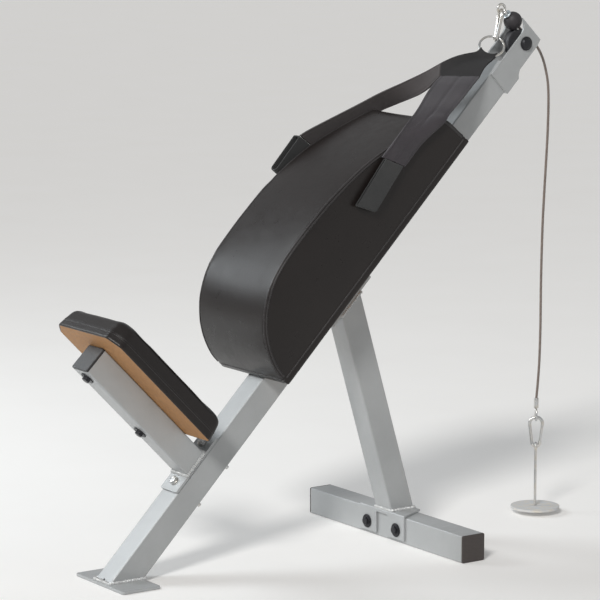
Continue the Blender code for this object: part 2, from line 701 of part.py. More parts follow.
for label, side in saddleBolts.items():
    place("saddle_bolt_" + label, boltMesh("saddle_bolt_" + label, 3 * touchGap + saddleThickness + tubeSide
                                           + boltWasherThickness + nutHeight + threadPastNut, wideWasherRadius),
          "blackSteel", stabiliserFrame, (outerFace - touchGap, side, saddleBoltHeight), (0, -math.pi / 2, 0), smooth=35)
    place("saddle_nut_" + label, nutMesh("saddle_nut_" + label, nutHeight), "zinc", stabiliserFrame,
          (tubeSide + touchGap, side, saddleBoltHeight), (0, math.pi / 2, 0), smooth=35)

# Pulley bracket: two cheeks and a web across the beam's rear
axleAlong = beamLength + axlePastBeam
cheekInner = tubeSide / 2 + touchGap
cheekOuter = cheekInner + cheekThickness
bracketStart = beamLength - bracketOverlap
webFront = -tubeSide - touchGap
webRear = webFront - cheekThickness
cheekShape = [(bracketStart, -cheekFrontStep), (axleAlong + 0.0076, -cheekFrontStep), (axleAlong + 0.0176, 0.002),
              (axleAlong + 0.0266, 0.009), (axleAlong + 0.0326, 0.017), (axleAlong + 0.0361, 0.024),
              (axleAlong + 0.0361, -0.052), (axleAlong + 0.0176, -0.056), (axleAlong - 0.0564, -0.056),
              (axleAlong - 0.0664, -0.062), (bracketStart + bracketWebLength, webRear), (bracketStart, webRear)]
for label, turn in (("near", -1), ("far", 1)):
    low, high = sorted((turn * cheekInner, turn * cheekOuter))
    cheek = place("bracket_cheek_" + label, prism("bracket_cheek_" + label, cheekShape, low, high), "paint", beamFrame)
    cutHoles(cheek, beamFrame, [((axleAlong, turn * (cheekInner - 0.005), -axleBehindFront), (0, turn, 0), 0.02,
                                 axleRadius + holeClearance)])
place("bracket_web", prism("bracket_web", [(bracketStart, webRear), (bracketStart + bracketWebLength, webRear),
                                           (bracketStart + bracketWebLength, webFront), (bracketStart, webFront)],
                           -tubeSide / 2, tubeSide / 2), "paint", beamFrame)

axle = onBeam(axleAlong, 0, -axleBehindFront)
axleFrame = frameAt("axle_frame", axle)
axleReach = 2 * cheekOuter + 3 * touchGap + boltWasherThickness + nutHeight + threadPastNut
place("pulley_axle_bolt", boltMesh("pulley_axle_bolt", axleReach, axleWasherRadius, domed=True), "blackSteel", axleFrame,
      (0, -cheekOuter - touchGap, 0), (math.pi / 2, 0, 0), smooth=35)
place("pulley_axle_nut", nutMesh("pulley_axle_nut", nutHeight), "zinc", axleFrame, (0, cheekOuter + touchGap, 0),
      (-math.pi / 2, 0, 0), smooth=35)
bearingHalf = pulleyWidth / 2 + bearingOverhang
bore = axleRadius + holeClearance
for label, turn in (("near", -1), ("far", 1)):
    low, high = sorted((turn * (bearingHalf + touchGap), turn * (cheekInner - touchGap)))
    place("pulley_spacer_" + label, turned("pulley_spacer_" + label, [(bore, low), (spacerRadius, low), (spacerRadius, high),
                                                                      (bore, high)], 24, "y"),
          "zinc", axleFrame, smooth=35)
place("pulley_bearing", turned("pulley_bearing", [(bore, -bearingHalf), (bearingRadius, -bearingHalf),
                                                  (bearingRadius, bearingHalf), (bore, bearingHalf)], 24, "y"),
      "bronze", axleFrame, smooth=35)
half = pulleyWidth / 2
pulleyBore = bearingRadius + touchGap
grooveSide = [(pulleyBore, half), (pulleyRadius - 0.0008, half), (pulleyRadius, half - 0.0008), (pulleyRadius, half - 0.0026),
              (pulleyRadius - 0.001, half - 0.0038), (pulleyGrooveRadius + 0.0008, cableRadius + 0.0002),
              (pulleyGrooveRadius, 0.0016)]
pulleyProfile = grooveSide + [(radius, -height) for radius, height in reversed(grooveSide)]
place("pulley", turned("pulley", pulleyProfile, 36, "y"), "nylon", axleFrame, smooth=35)

# The cable's straight run from the stop ball over the pulley
cableLine = Vector((math.cos(cableSlope), 0, math.sin(cableSlope)))
cableUp = Vector((-math.sin(cableSlope), 0, math.cos(cableSlope)))
tangentPoint = axle + cableUp * pulleySeatRadius
ballCentre = tangentPoint - cableLine * stopBallSetOut
pullFrame = frameAt("pull_frame", ballCentre, cableSlope)
ballBore = cableRadius + holeClearance
ballProfile = []
edge = math.asin(ballBore / stopBallRadius)
for step in range(9):
    turn = edge + (math.pi - 2 * edge) * step / 8
    ballProfile.append((stopBallRadius * math.sin(turn), stopBallRadius * math.cos(turn)))
ballEnd = stopBallRadius * math.cos(edge)
place("stop_ball", turned("stop_ball", ballProfile, 24, "x"), "rubber", pullFrame, smooth=50)
washerNear = -stopBallRadius - touchGap
place("stop_washer", turned("stop_washer", [(ballBore, washerNear - stopWasherThickness),
                                            (stopWasherRadius, washerNear - stopWasherThickness),
                                            (stopWasherRadius, washerNear), (ballBore, washerNear)], 24, "x"),
      "zinc", pullFrame, smooth=35)

# Eye on the cable's end: a ring with a bored shank
eyeAt = -eyeFromBall
shankEnd = washerNear - stopWasherThickness - touchGap
shankStart = eyeAt + eyeRingRadius
bm = bmesh.new()
sections = 12
around = 24
for outer in range(around):
    turn = 2 * math.pi * outer / around
    for inner in range(sections):
        small = 2 * math.pi * inner / sections
        radius = eyeRingRadius + eyeWireRadius * math.cos(small)
        bm.verts.new((eyeAt + radius * math.cos(turn), eyeWireRadius * math.sin(small), radius * math.sin(turn)))
bm.verts.ensure_lookup_table()
for outer in range(around):
    for inner in range(sections):
        nextOuter = (outer + 1) % around
        nextInner = (inner + 1) % sections
        bm.faces.new([bm.verts[a * sections + b] for a, b in ((outer, inner), (nextOuter, inner), (nextOuter, nextInner),
                                                              (outer, nextInner))])
eyeRing = place("cable_eye", finishMesh(bm, "cable_eye", merge=False), "zinc", pullFrame, smooth=40)
shankMesh = turned("cable_eye_shank", [(0.0, shankStart), (eyeShankRadius - 0.001, shankStart),
                                       (eyeShankRadius, shankStart + 0.001), (eyeShankRadius, shankEnd), (0.0, shankEnd)],
                   24, "x")
shank = place("cable_eye_shank", shankMesh, None, pullFrame)
shank.hide_render = True
shank.display_type = "WIRE"
join = eyeRing.modifiers.new("shank", "BOOLEAN")
join.operation = "UNION"
join.solver = "EXACT"
join.object = shank
cutHoles(eyeRing, pullFrame, [((shankEnd + 0.004, 0, 0), (-1, 0, 0), 0.004 + eyeSocketDepth, ballBore)])
cableTip = shankEnd - eyeSocketDepth + touchGap
endPoints = [(cableTip + (ballEnd - cableTip) * step / 4, 0, 0) for step in range(5)]
curveTube("cable_end", endPoints, cableRadius, "cable", pullFrame)

# The load end: the hanging cable, its ferrule and loop, the hook and the weight pin
discTop = discAboveFloor + discThickness
pinEyeZ = discTop + pinDrop
lowBowZ = pinEyeZ + pinEyeRadius - pinEyeWire - hookWireRadius - touchGap
hookSpan = hookHeight - 2 * hookWireRadius
topBowZ = lowBowZ + hookSpan
loopLowZ = topBowZ - hookWireRadius - touchGap - loopWireRadius
loopTopZ = loopLowZ + loopHeight - 2 * loopWireRadius
ferruleLow = loopTopZ + loopWireRadius + touchGap
ferruleTop = ferruleLow + ferruleLength
cableDrop = tangentPoint.z - ferruleTop - touchGap
loadX = tangentPoint.x + 0.0548
hangShape = [(0.022, 0.0213), (0.044, 0.0430), (0.058, 0.0675), (0.067, 0.0920), (0.075, 0.1250), (0.079, 0.1570),
             (0.0802, 0.2050), (0.0790, 0.2670), (0.0768, 0.3205), (0.0740, 0.3740), (0.0705, 0.4430), (0.0675, 0.5100),
             (0.0655, 0.5915), (0.0645, 0.6720), (0.0645, 0.7420), (0.0645, 0.8110), (0.0626, 0.8950), (0.0590, 0.9530),
             (0.0560, 0.9870), (0.0548, 1.0000)]
route = [tangentPoint + Vector((0.004, 0, -0.0035))]
for aside, share in hangShape:
    drop = share if share == 1.0 else share / 0.9992
    if share < 0.1:
        route.append(Vector((tangentPoint.x + aside, 0, tangentPoint.z - 0.8926 * share)))
    else:
        route.append(Vector((tangentPoint.x + aside, 0, tangentPoint.z - cableDrop * min(drop, 1.0))))
hangPoints = smoothPath(route, 66)
liftFrame = frameAt("lift_frame", (loadX, 0, tangentPoint.z))
curveTube("hanging_cable", [point - liftFrame.location for point in hangPoints], cableRadius, "cable", liftFrame)
leaveFor = (hangPoints[1] - hangPoints[0]).normalized()
overStart = ballCentre + cableLine * (ballEnd + 0.0004)
overEnd = hangPoints[0] - leaveFor * 0.0006
overPoints = smoothPath([overStart, overStart + (overEnd - overStart) * 0.33 + cableUp * 0.0001,
                         overStart + (overEnd - overStart) * 0.67 + cableUp * 0.0001, overEnd], 6)
curveTube("cable_over_pulley", [point - axle for point in overPoints], cableRadius, "cable", axleFrame)

loadFrame = frameAt("load_frame", (loadX, 0, 0), parent=None, matrix=Matrix.Rotation(viewYaw, 3, "Z"))
place("cable_ferrule", turned("cable_ferrule", [(0.0, ferruleLow), (ferruleRadius - 0.0012, ferruleLow),
                                                (ferruleRadius, ferruleLow + 0.0015), (ferruleRadius, ferruleTop - 0.0015),
                                                (ferruleRadius - 0.0012, ferruleTop), (0.0, ferruleTop)], 20),
      "zinc", loadFrame, smooth=40)
loopPoints = []
loopCentreZ = (loopLowZ + loopTopZ) / 2
for step in range(32):
    turn = 2 * math.pi * step / 32
    narrow = 1.0 - 0.25 * math.sin(turn)
    loopPoints.append((0, (loopWidth / 2 - loopWireRadius) * math.cos(turn) * narrow,
                       loopCentreZ + (loopTopZ - loopLowZ) / 2 * math.sin(turn)))
curveTube("cable_thimble", loopPoints, loopWireRadius, "zinc", loadFrame, cyclic=True, resolution=2)


def hookShape():
    """The hook's wire from the gate's lower seat round the bottom, up the spine and over to the nose.

    The top bow's wire is at the local origin and the hook hangs down in the local XZ plane.
    """
    topCentre = Vector((0, 0, -hookTopRadius))
    lowCentre = Vector((0, 0, -hookSpan + hookLowRadius))
    slope = math.asin((hookTopRadius - hookLowRadius) / (topCentre - lowCentre).length)
    right = Vector((math.cos(slope), 0, -math.sin(slope)))
    left = Vector((-math.cos(slope), 0, -math.sin(slope)))
    lowRight = lowCentre + right * hookLowRadius
    topRight = topCentre + right * hookTopRadius
    lowLeft = lowCentre + left * hookLowRadius
    topLeft = topCentre + left * hookTopRadius
    points = [lowRight.lerp(topRight, hookGateLow), lowRight.lerp(topRight, hookGateLow / 2)]
    for step in range(11):
        turn = -slope - (math.pi - 2 * slope) * step / 10
        points.append(lowCentre + Vector((math.cos(turn), 0, math.sin(turn))) * hookLowRadius)
    for step in range(1, 6):
        points.append(lowLeft.lerp(topLeft, step / 6))
    for step in range(17):
        turn = math.pi + slope - (math.pi + 2 * slope) * step / 16
        points.append(topCentre + Vector((math.cos(turn), 0, math.sin(turn))) * hookTopRadius)
    points.append(topRight.lerp(lowRight, 1.0 - hookGateHigh))
    return points, lowRight, topRight


hookPoints, gateFoot, gateHead = hookShape()
gateAxis = (gateHead - gateFoot).normalized()
gatePivot = gateFoot.lerp(gateHead, hookGateLow) + gateAxis * (hookGateGap + hookGateRadius)
gateTip = gateFoot.lerp(gateHead, hookGateHigh) - gateAxis * (hookGateGap + hookGateRadius)
gateProfile = []
for step in range(5):
    turn = math.pi / 2 * step / 4
    gateProfile.append((hookGateRadius * math.sin(turn), -hookGateRadius * math.cos(turn)))
for step in range(5):
    turn = math.pi / 2 * step / 4
    gateProfile.append((hookGateRadius * math.cos(turn), (gateTip - gatePivot).length + hookGateRadius * math.sin(turn)))
gateProfile[0] = (0.0, -hookGateRadius)
gateProfile[-1] = (0.0, gateProfile[-1][1])


def hook(label, parent, topBow):
    """A snap hook with its gate on the local +X side; returns the gate's frame."""
    body = frameAt(label + "_frame", topBow, parent=parent)
    curveTube(label, hookPoints, hookWireRadius, "zinc", body, resolution=3)
    gate = frameAt(label + "_gate_frame", gatePivot, parent=body,
                   matrix=Matrix.Rotation(math.atan2(gateAxis.x, gateAxis.z), 3, "Y"))
    place(label + "_gate", turned(label + "_gate", gateProfile, 14), "zinc", gate, smooth=50)
    return body


hook("rear_carabiner", loadFrame, (0, 0, topBowZ))

# Weight pin: an eyed rod through a round plate
pinFrame = frameAt("pin_frame", (0, 0, lowBowZ), parent=loadFrame)
eyeDrop = pinEyeZ - lowBowZ
pinBottom = discAboveFloor - lowBowZ
bm = bmesh.new()
for outer in range(24):
    turn = 2 * math.pi * outer / 24
    for inner in range(10):
        small = 2 * math.pi * inner / 10
        radius = pinEyeRadius + pinEyeWire * math.cos(small)
        bm.verts.new((pinEyeWire * math.sin(small), radius * math.cos(turn), eyeDrop + radius * math.sin(turn)))
bm.verts.ensure_lookup_table()
for outer in range(24):
    for inner in range(10):
        corners = ((outer, inner), ((outer + 1) % 24, inner), ((outer + 1) % 24, (inner + 1) % 10), (outer, (inner + 1) % 10))
        bm.faces.new([bm.verts[a * 10 + b] for a, b in corners])
pin = place("loading_rod", finishMesh(bm, "loading_rod", merge=False), "zinc", pinFrame, smooth=40)
rodTop = eyeDrop - pinEyeRadius
rodMesh = turned("loading_rod_shaft", [(0.0, pinBottom), (pinRadius - 0.0005, pinBottom), (pinRadius, pinBottom + 0.0005),
                                       (pinRadius, rodTop), (0.0, rodTop)], 18)
shaft = place("loading_rod_shaft", rodMesh, None, pinFrame)
shaft.hide_render = True
shaft.display_type = "WIRE"
join = pin.modifiers.new("shaft", "BOOLEAN")
join.operation = "UNION"
join.solver = "EXACT"
join.object = shaft
discBore = pinRadius + holeClearance
place("loading_disc", turned("loading_disc", [(discBore, pinBottom), (discRadius - 0.001, pinBottom),
                                              (discRadius, pinBottom + 0.001),
                                              (discRadius, pinBottom + discThickness - 0.001),
                                              (discRadius - 0.001, pinBottom + discThickness),
                                              (discBore, pinBottom + discThickness)], 44), "zinc", pinFrame, smooth=35)

# Front hook in the cable's eye
eyeCentre = ballCentre - cableLine * eyeFromBall
frontTop = eyeCentre + Vector((0, 0, -eyeRingRadius + eyeWireRadius + hangGap + hookWireRadius))
hookUp = Vector((math.sin(frontHookLean), 0, math.cos(frontHookLean)))
across = Vector((math.cos(frontHookYaw), math.sin(frontHookYaw), 0))
across = (across - hookUp * across.dot(hookUp)).normalized()
hookNormal = hookUp.cross(across)
hookTurn = Matrix((across, hookNormal, hookUp)).transposed()
frontFrame = frameAt("front_hook_place", frontTop, matrix=hookTurn)
hook("front_carabiner", frontFrame, (0, 0, 0))

# Ring through the front hook's lower bow
lowBow = frontTop - hookUp * hookSpan
ringRight = Vector((math.cos(viewYaw), math.sin(viewYaw), 0))
ringUp = Vector((0.377, 0.549, 0.743))
ringUp = (ringUp - ringRight * ringUp.dot(ringRight)).normalized()
ringNormal = ringRight.cross(ringUp)
linkRadial = ringRight * math.cos(ringLinkAngle) + ringUp * math.sin(ringLinkAngle)
ringLink = lowBow + hookUp * (hookWireRadius + hangGap + ringWireRadius)
ringCentre = ringLink - linkRadial * ringRadius
ringFrame = frameAt("ring_frame", ringCentre, matrix=Matrix((ringRight, ringUp, ringNormal)).transposed())
ringPoints = [(ringRadius * math.cos(2 * math.pi * step / 48), ringRadius * math.sin(2 * math.pi * step / 48), 0)
              for step in range(48)]
curveTube("harness_ring", ringPoints, ringWireRadius, "zinc", ringFrame, cyclic=True, resolution=2)

# Harness. Its frame sits on the hook's lower bow, and the straps lie over and beside the back pad.
harnessFrame = frameAt("harness_frame", lowBow)


def skinGrid(name, upper, lower, finish):
    """A closed sheet from two equal grids of points, rows along the strap and columns across it."""
    bm = bmesh.new()
    top = [[bm.verts.new(point - lowBow) for point in row] for row in upper]
    low = [[bm.verts.new(point - lowBow) for point in row] for row in lower]
    rows = len(top)
    columns = len(top[0])
    for i in range(rows - 1):
        for j in range(columns - 1):
            bm.faces.new((top[i][j], top[i][j + 1], top[i + 1][j + 1], top[i + 1][j]))
            bm.faces.new((low[i][j], low[i + 1][j], low[i + 1][j + 1], low[i][j + 1]))
        for j in (0, columns - 1):
            bm.faces.new((top[i][j], top[i + 1][j], low[i + 1][j], low[i][j]))
    for i in (0, rows - 1):
        for j in range(columns - 1):
            bm.faces.new((top[i][j], low[i][j], low[i][j + 1], top[i][j + 1]))
    return place(name, finishMesh(bm, name, merge=False), finish, harnessFrame, smooth=40)


def clearOfPad(along, side, front, outward):
    """Moves a point that would lie in the back pad to just outside it, sideways or to the front."""
    margin = strapPadClearance
    limitSide = padHalf + padSideBulge + margin
    face = padFrontAt(min(along, padStart + padLength - 0.001)) + padCrown + margin
    if along > padStart + padLength + margin or abs(side) >= limitSide or front >= face:
        return along, side, front
    if limitSide - abs(side) < face - front or outward == "side":
        return along, math.copysign(limitSide, side), front
    return along, side, face


def ribbon(name, edges, rows, columns, thickness, finish, outward="nearest", gap=0.0):
    """A strap between two edges given in beam coordinates, kept clear of the pad and thickened away from it."""
    first = smoothPath([edge[0] for edge in edges], rows)
    second = smoothPath([edge[1] for edge in edges], rows)
    grid = []
    for one, two in zip(first, second):
        row = []
        for column in range(columns):
            mix = one.lerp(two, column / (columns - 1))
            row.append(Vector(clearOfPad(mix.x, mix.y, mix.z, outward)))
        grid.append(row)
    heart = Vector((padStart + 0.55 * padLength, 0, 0.0))
    upper = []
    lower = []
    for i, row in enumerate(grid):
        upperRow = []
        lowerRow = []
        for j, point in enumerate(row):
            downward = grid[min(i + 1, rows - 1)][j] - grid[max(i - 1, 0)][j]
            acrossRow = row[min(j + 1, columns - 1)] - row[max(j - 1, 0)]
            normal = downward.cross(acrossRow).normalized()
            if normal.dot(point - heart) < 0:
                normal = -normal
            inner = point + normal * gap
            outer = inner + normal * thickness
            lowerRow.append(onBeam(*inner))
            upperRow.append(onBeam(*outer))
        upper.append(upperRow)
        lower.append(lowerRow)
    return skinGrid(name, upper, lower, finish)


# Yoke: webbing folded round the ring along part of its arc, then fanned out to where the straps part
wrapOut = ringRight * math.cos(ringWrapAngle) + ringUp * math.sin(ringWrapAngle)
wrapSide = -ringRight * math.sin(ringWrapAngle) + ringUp * math.cos(ringWrapAngle)
sleeveGap = 0.0006
columns = 9
tailReach = 0.012
nose = 8
cornerPoint = Vector((1.414, 0.0, 0.086))
yokeFarEdge = Vector((1.448, 0.020, 0.094))
yokeNearEdge = Vector((1.462, -0.060, 0.036))
fan = []
for column in range(columns):
    share = column / (columns - 1)
    if share <= 0.375:
        fan.append(onBeam(*yokeFarEdge.lerp(cornerPoint, share / 0.375)))
    else:
        fan.append(onBeam(*cornerPoint.lerp(yokeNearEdge, (share - 0.375) / 0.625)))
profiles = []
for column in range(columns):
    offset = -ringWrapHalfArc + 2 * ringWrapHalfArc * column / (columns - 1)
    onArc = ringCentre + (wrapOut * math.cos(offset) + wrapSide * math.sin(offset)) * ringRadius
    leaving = (wrapOut + (fan[column] - onArc).normalized()).normalized()
    tail = onArc + leaving * tailReach
    longHalf = ringWireRadius / math.cos(offset) + sleeveGap
    shortHalf = ringWireRadius + sleeveGap
    outerLoop = []
    innerLoop = []
    for step in range(nose):
        turn = math.radians(75) + math.radians(210) * step / (nose - 1)
        outerLoop.append(onArc + wrapOut * math.cos(turn) * (longHalf + webbingThickness)
                         + ringNormal * math.sin(turn) * (shortHalf + webbingThickness))
        innerLoop.append(onArc + wrapOut * math.cos(turn) * longHalf + ringNormal * math.sin(turn) * shortHalf)
    for step in range(1, 6):
        turn = math.radians(285) + math.radians(150) * step / 6
        innerLoop.append(onArc + wrapOut * math.cos(turn) * longHalf + ringNormal * math.sin(turn) * shortHalf)
    target = fan[column]
    run = []
    for step in range(1, 6):
        mix = step / 6
        bend = tail.lerp(target, mix)
        bend += frontOfBeam * 0.006 * math.sin(math.pi * mix)
        run.append(bend)
    run.append(target)
    profiles.append((outerLoop, innerLoop, [tail] + run))
bm = bmesh.new()
made = []
rowsOut = len(profiles[0][2])
for column, (outerLoop, innerLoop, run) in enumerate(profiles):
    outerVerts = [bm.verts.new(point - lowBow) for point in outerLoop]
    innerVerts = [bm.verts.new(point - lowBow) for point in innerLoop]
    upperVerts = []
    lowerVerts = []
    for row, point in enumerate(run):
        beside = profiles[min(column + 1, columns - 1)][2][row] - profiles[max(column - 1, 0)][2][row]
        ahead = run[min(row + 1, rowsOut - 1)] - run[max(row - 1, 0)]
        lift = ahead.cross(beside).normalized()
        if lift.dot(ringNormal) < 0:
            lift = -lift
        if row == 0:
            lift = ringNormal
        upperVerts.append(bm.verts.new(point + lift * yokeThickness / 2 - lowBow))
        lowerVerts.append(bm.verts.new(point - lift * yokeThickness / 2 - lowBow))
    made.append((outerVerts, innerVerts, upperVerts, lowerVerts))
for (outerA, innerA, upperA, lowerA), (outerB, innerB, upperB, lowerB) in zip(made, made[1:]):
    skin = list(reversed(upperA)) + outerA + lowerA
    skinNext = list(reversed(upperB)) + outerB + lowerB
    for index in range(len(skin)):
        after = (index + 1) % len(skin)
        bm.faces.new((skin[index], skin[after], skinNext[after], skinNext[index]))
    for index in range(len(innerA)):
        after = (index + 1) % len(innerA)
        bm.faces.new((innerA[index], innerB[index], innerB[after], innerA[after]))
for outerVerts, innerVerts, upperVerts, lowerVerts in (made[0], made[-1]):
    for index in range(nose - 1):
        bm.faces.new((outerVerts[index], outerVerts[index + 1], innerVerts[index + 1], innerVerts[index]))
    bm.faces.new((upperVerts[0], outerVerts[0], innerVerts[0]))
    bm.faces.new([upperVerts[0], innerVerts[0]] + innerVerts[:nose - 1:-1] + [innerVerts[nose - 1], lowerVerts[0]])
    bm.faces.new((lowerVerts[0], innerVerts[nose - 1], outerVerts[-1]))
    for row in range(rowsOut - 1):
        bm.faces.new((upperVerts[row], upperVerts[row + 1], lowerVerts[row + 1], lowerVerts[row]))
place("harness_yoke", finishMesh(bm, "harness_yoke", merge=False), "webbing", harnessFrame, smooth=40)

# Near strap: from the yoke across the pad's near upper corner and down its near side
besidePad = padHalf + padSideBulge + strapPadClearance


def fromPadTop(above, side, front):
    """A strap point in beam coordinates, its height given from the pad's upper end."""
    return Vector((padStart + padLength + above, side, front))


def besideSeam(point, towards, gap):
    """A point the given gap beyond a sewn edge, towards the strap's next point."""
    return point + (towards - point).normalized() * gap


nearSecond = (fromPadTop(0.042, -0.040, 0.111), fromPadTop(0.089, -0.095, 0.058))
nearEdges = [
    (besideSeam(cornerPoint, nearSecond[0], nearSeamGap), besideSeam(yokeNearEdge, nearSecond[1], nearSeamGap)),
    nearSecond,
    (fromPadTop(-0.031, -0.090, 0.136), fromPadTop(0.022, -0.130, 0.083)),
    (fromPadTop(-0.098, -0.125, 0.160), fromPadTop(-0.038, -besidePad, 0.096)),
    (fromPadTop(-0.153, -besidePad, 0.171), fromPadTop(-0.098, -besidePad, 0.108)),
    (fromPadTop(-0.193, -besidePad, 0.172), fromPadTop(-0.167, -besidePad, 0.108)),
]
ribbon("near_strap", nearEdges, 26, 6, strapThickness, "webbing")

# Far strap: from the yoke down the pad's far side
farSecond = (fromPadTop(0.105, 0.060, 0.098), fromPadTop(0.067, 0.052, 0.070))
farEdges = [
    (besideSeam(yokeFarEdge, farSecond[0], farSeamGap), besideSeam(cornerPoint, farSecond[1], farSeamGap)),
    farSecond,
    (fromPadTop(0.047, 0.115, 0.106), fromPadTop(0.027, 0.125, 0.064)),
    (fromPadTop(-0.002, besidePad, 0.119), fromPadTop(0.001, besidePad, 0.072)),
    (fromPadTop(-0.148, besidePad, 0.189), fromPadTop(-0.145, besidePad, 0.140)),
    (fromPadTop(-0.191, besidePad, 0.207), fromPadTop(-0.185, besidePad, 0.158)),
]
ribbon("far_strap", farEdges, 28, 5, strapThickness, "webbing")


def handLoop(name, corners, innerGap, side):
    """A loop of webbing: two plies and a fold, standing on edge beside the pad.

    corners are the top and the end of the loop's two edges in beam coordinates, on the pad side.
    """
    topOne, topTwo, endOne, endTwo = corners
    plies = innerGap + 2 * webbingThickness
    steps = 14
    outerPath = [(0.0, 0.0)]
    innerPath = [(webbingThickness, webbingThickness)]
    centre = plies / 2
    length = (endOne - topOne).length
    bend = centre
    outerPath.append((length - bend, 0.0))
    innerPath.append((length - bend, webbingThickness))
    for step in range(1, steps):
        turn = -math.pi / 2 + math.pi * step / steps
        outerPath.append((length - bend + bend * math.cos(turn), centre + bend * math.sin(turn)))
        reach = bend - webbingThickness
        innerPath.append((length - bend + reach * math.cos(turn), centre + reach * math.sin(turn)))
    outerPath += [(length - bend, plies), (0.0, plies)]
    innerPath += [(length - bend, plies - webbingThickness), (webbingThickness, plies - webbingThickness)]
    bm = bmesh.new()
    sheets = []
    for top, end in ((topOne, endOne), (topTwo, endTwo)):
        sheet = []
        for path in (outerPath, innerPath):
            ring = []
            for run, out in path:
                at = top.lerp(end, run / length)
                ring.append(bm.verts.new(onBeam(at.x, at.y + side * out, at.z) - lowBow))
            sheet.append(ring)
        sheets.append(sheet)
    count = len(outerPath)
    for index in range(count):
        after = (index + 1) % count
        bm.faces.new((sheets[0][0][index], sheets[0][0][after], sheets[1][0][after], sheets[1][0][index]))
        bm.faces.new((sheets[0][1][index], sheets[1][1][index], sheets[1][1][after], sheets[0][1][after]))
        for sheet in sheets:
            bm.faces.new((sheet[0][index], sheet[0][after], sheet[1][after], sheet[1][index]))
    return place(name, finishMesh(bm, name, merge=False), "webbing", harnessFrame, smooth=40)


def underStrap(end, inset, width, gap):
    """The top of a hand loop sewn under a strap's end: two points the inset from its first edge and the loop's width apart."""
    across = (end[1] - end[0]).normalized()
    below = Vector((across.z, 0, -across.x))
    first = end[0] + across * inset + below * gap
    return first, first + across * width


nearTop = underStrap(nearEdges[-1], 0.0088, 0.0519, nearHandSeamGap)
handLoop("near_handle_loop", (*nearTop, fromPadTop(-0.319, -besidePad, 0.150), fromPadTop(-0.295, -besidePad, 0.101)), nearLoopGap, -1)
farTop = underStrap(farEdges[-1], 0.0002, 0.0486, farHandSeamGap)
handLoop("far_handle_loop", (*farTop, fromPadTop(-0.295, besidePad, 0.203), fromPadTop(-0.291, besidePad, 0.154)), farLoopGap, 1)
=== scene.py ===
import json
import math

import bmesh
import bpy
import numpy as np
from mathutils import Matrix, Vector
from mathutils.bvhtree import BVHTree

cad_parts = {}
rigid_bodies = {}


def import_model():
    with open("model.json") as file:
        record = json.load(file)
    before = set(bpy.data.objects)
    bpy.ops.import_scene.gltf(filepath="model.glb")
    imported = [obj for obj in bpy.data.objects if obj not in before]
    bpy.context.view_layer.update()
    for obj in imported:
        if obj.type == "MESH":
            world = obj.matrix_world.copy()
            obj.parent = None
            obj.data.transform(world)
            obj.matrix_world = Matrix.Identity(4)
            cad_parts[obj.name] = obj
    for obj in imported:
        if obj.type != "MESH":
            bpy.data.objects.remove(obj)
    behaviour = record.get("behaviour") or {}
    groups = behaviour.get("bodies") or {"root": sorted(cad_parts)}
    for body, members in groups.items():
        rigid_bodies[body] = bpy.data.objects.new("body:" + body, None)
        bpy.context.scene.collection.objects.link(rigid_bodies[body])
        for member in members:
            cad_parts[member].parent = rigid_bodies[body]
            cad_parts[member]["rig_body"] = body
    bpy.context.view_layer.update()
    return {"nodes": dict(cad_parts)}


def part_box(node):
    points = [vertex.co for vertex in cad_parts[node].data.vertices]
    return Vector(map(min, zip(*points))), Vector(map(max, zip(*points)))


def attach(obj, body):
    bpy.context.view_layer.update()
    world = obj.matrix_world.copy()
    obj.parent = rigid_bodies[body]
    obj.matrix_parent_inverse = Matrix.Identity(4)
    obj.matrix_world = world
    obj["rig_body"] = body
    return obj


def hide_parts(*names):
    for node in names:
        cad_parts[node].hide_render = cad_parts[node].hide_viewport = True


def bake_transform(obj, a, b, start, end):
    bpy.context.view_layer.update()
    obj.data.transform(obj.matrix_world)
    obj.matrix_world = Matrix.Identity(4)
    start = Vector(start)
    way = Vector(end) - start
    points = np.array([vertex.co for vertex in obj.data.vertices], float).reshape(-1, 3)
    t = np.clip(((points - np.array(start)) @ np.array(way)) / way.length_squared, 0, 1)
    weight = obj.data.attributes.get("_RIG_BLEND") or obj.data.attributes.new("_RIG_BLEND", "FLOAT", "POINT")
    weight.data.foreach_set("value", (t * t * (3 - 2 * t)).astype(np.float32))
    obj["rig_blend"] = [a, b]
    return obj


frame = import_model()
scene = bpy.context.scene
scene.view_settings.view_transform = "Standard"
print("frame loaded:", len(frame["nodes"]), "nodes")

# Where the tilted members lie, as in the part
bench = {
    "beamAngle": math.radians(45.70), "beamOrigin": (-0.040, 0.0, 0.0065), "tubeSide": 0.0635,
    "seatAlong": 0.300, "seatAngle": math.radians(45.68), "legAngle": math.radians(73.43),
}
beamAngle, legAngle, tubeSide = bench["beamAngle"], bench["legAngle"], bench["tubeSide"]
alongBeam = Vector((math.cos(beamAngle), 0, math.sin(beamAngle)))
frontOfBeam = Vector((-math.sin(beamAngle), 0, math.cos(beamAngle)))
beamTurn = Matrix((alongBeam, Vector((0, 1, 0)), frontOfBeam)).transposed()
beamPlace = Matrix.Translation(Vector(bench["beamOrigin"])) @ beamTurn.to_4x4()


def onBeam(along, side, front):
    return beamPlace @ Vector((along, side, front))


seatTurn = math.pi - bench["seatAngle"]
seatPlace = Matrix.Translation(onBeam(bench["seatAlong"], 0, 0)) @ Matrix.Rotation(-seatTurn, 4, "Y")

# The photograph's view
view = {"at": (-3.1720, -5.3190, 1.6260), "tilt": (80.873, 0.0, -34.546), "lens": 172.21, "sensor": 36.0}
camera = bpy.data.objects.new("viewCamera", bpy.data.cameras.new("viewCamera"))
scene.collection.objects.link(camera)
camera.location = view["at"]
camera.rotation_euler = [math.radians(angle) for angle in view["tilt"]]
camera.data.lens = view["lens"]
camera.data.sensor_width = view["sensor"]
camera.data.clip_end = 200.0
scene.camera = camera


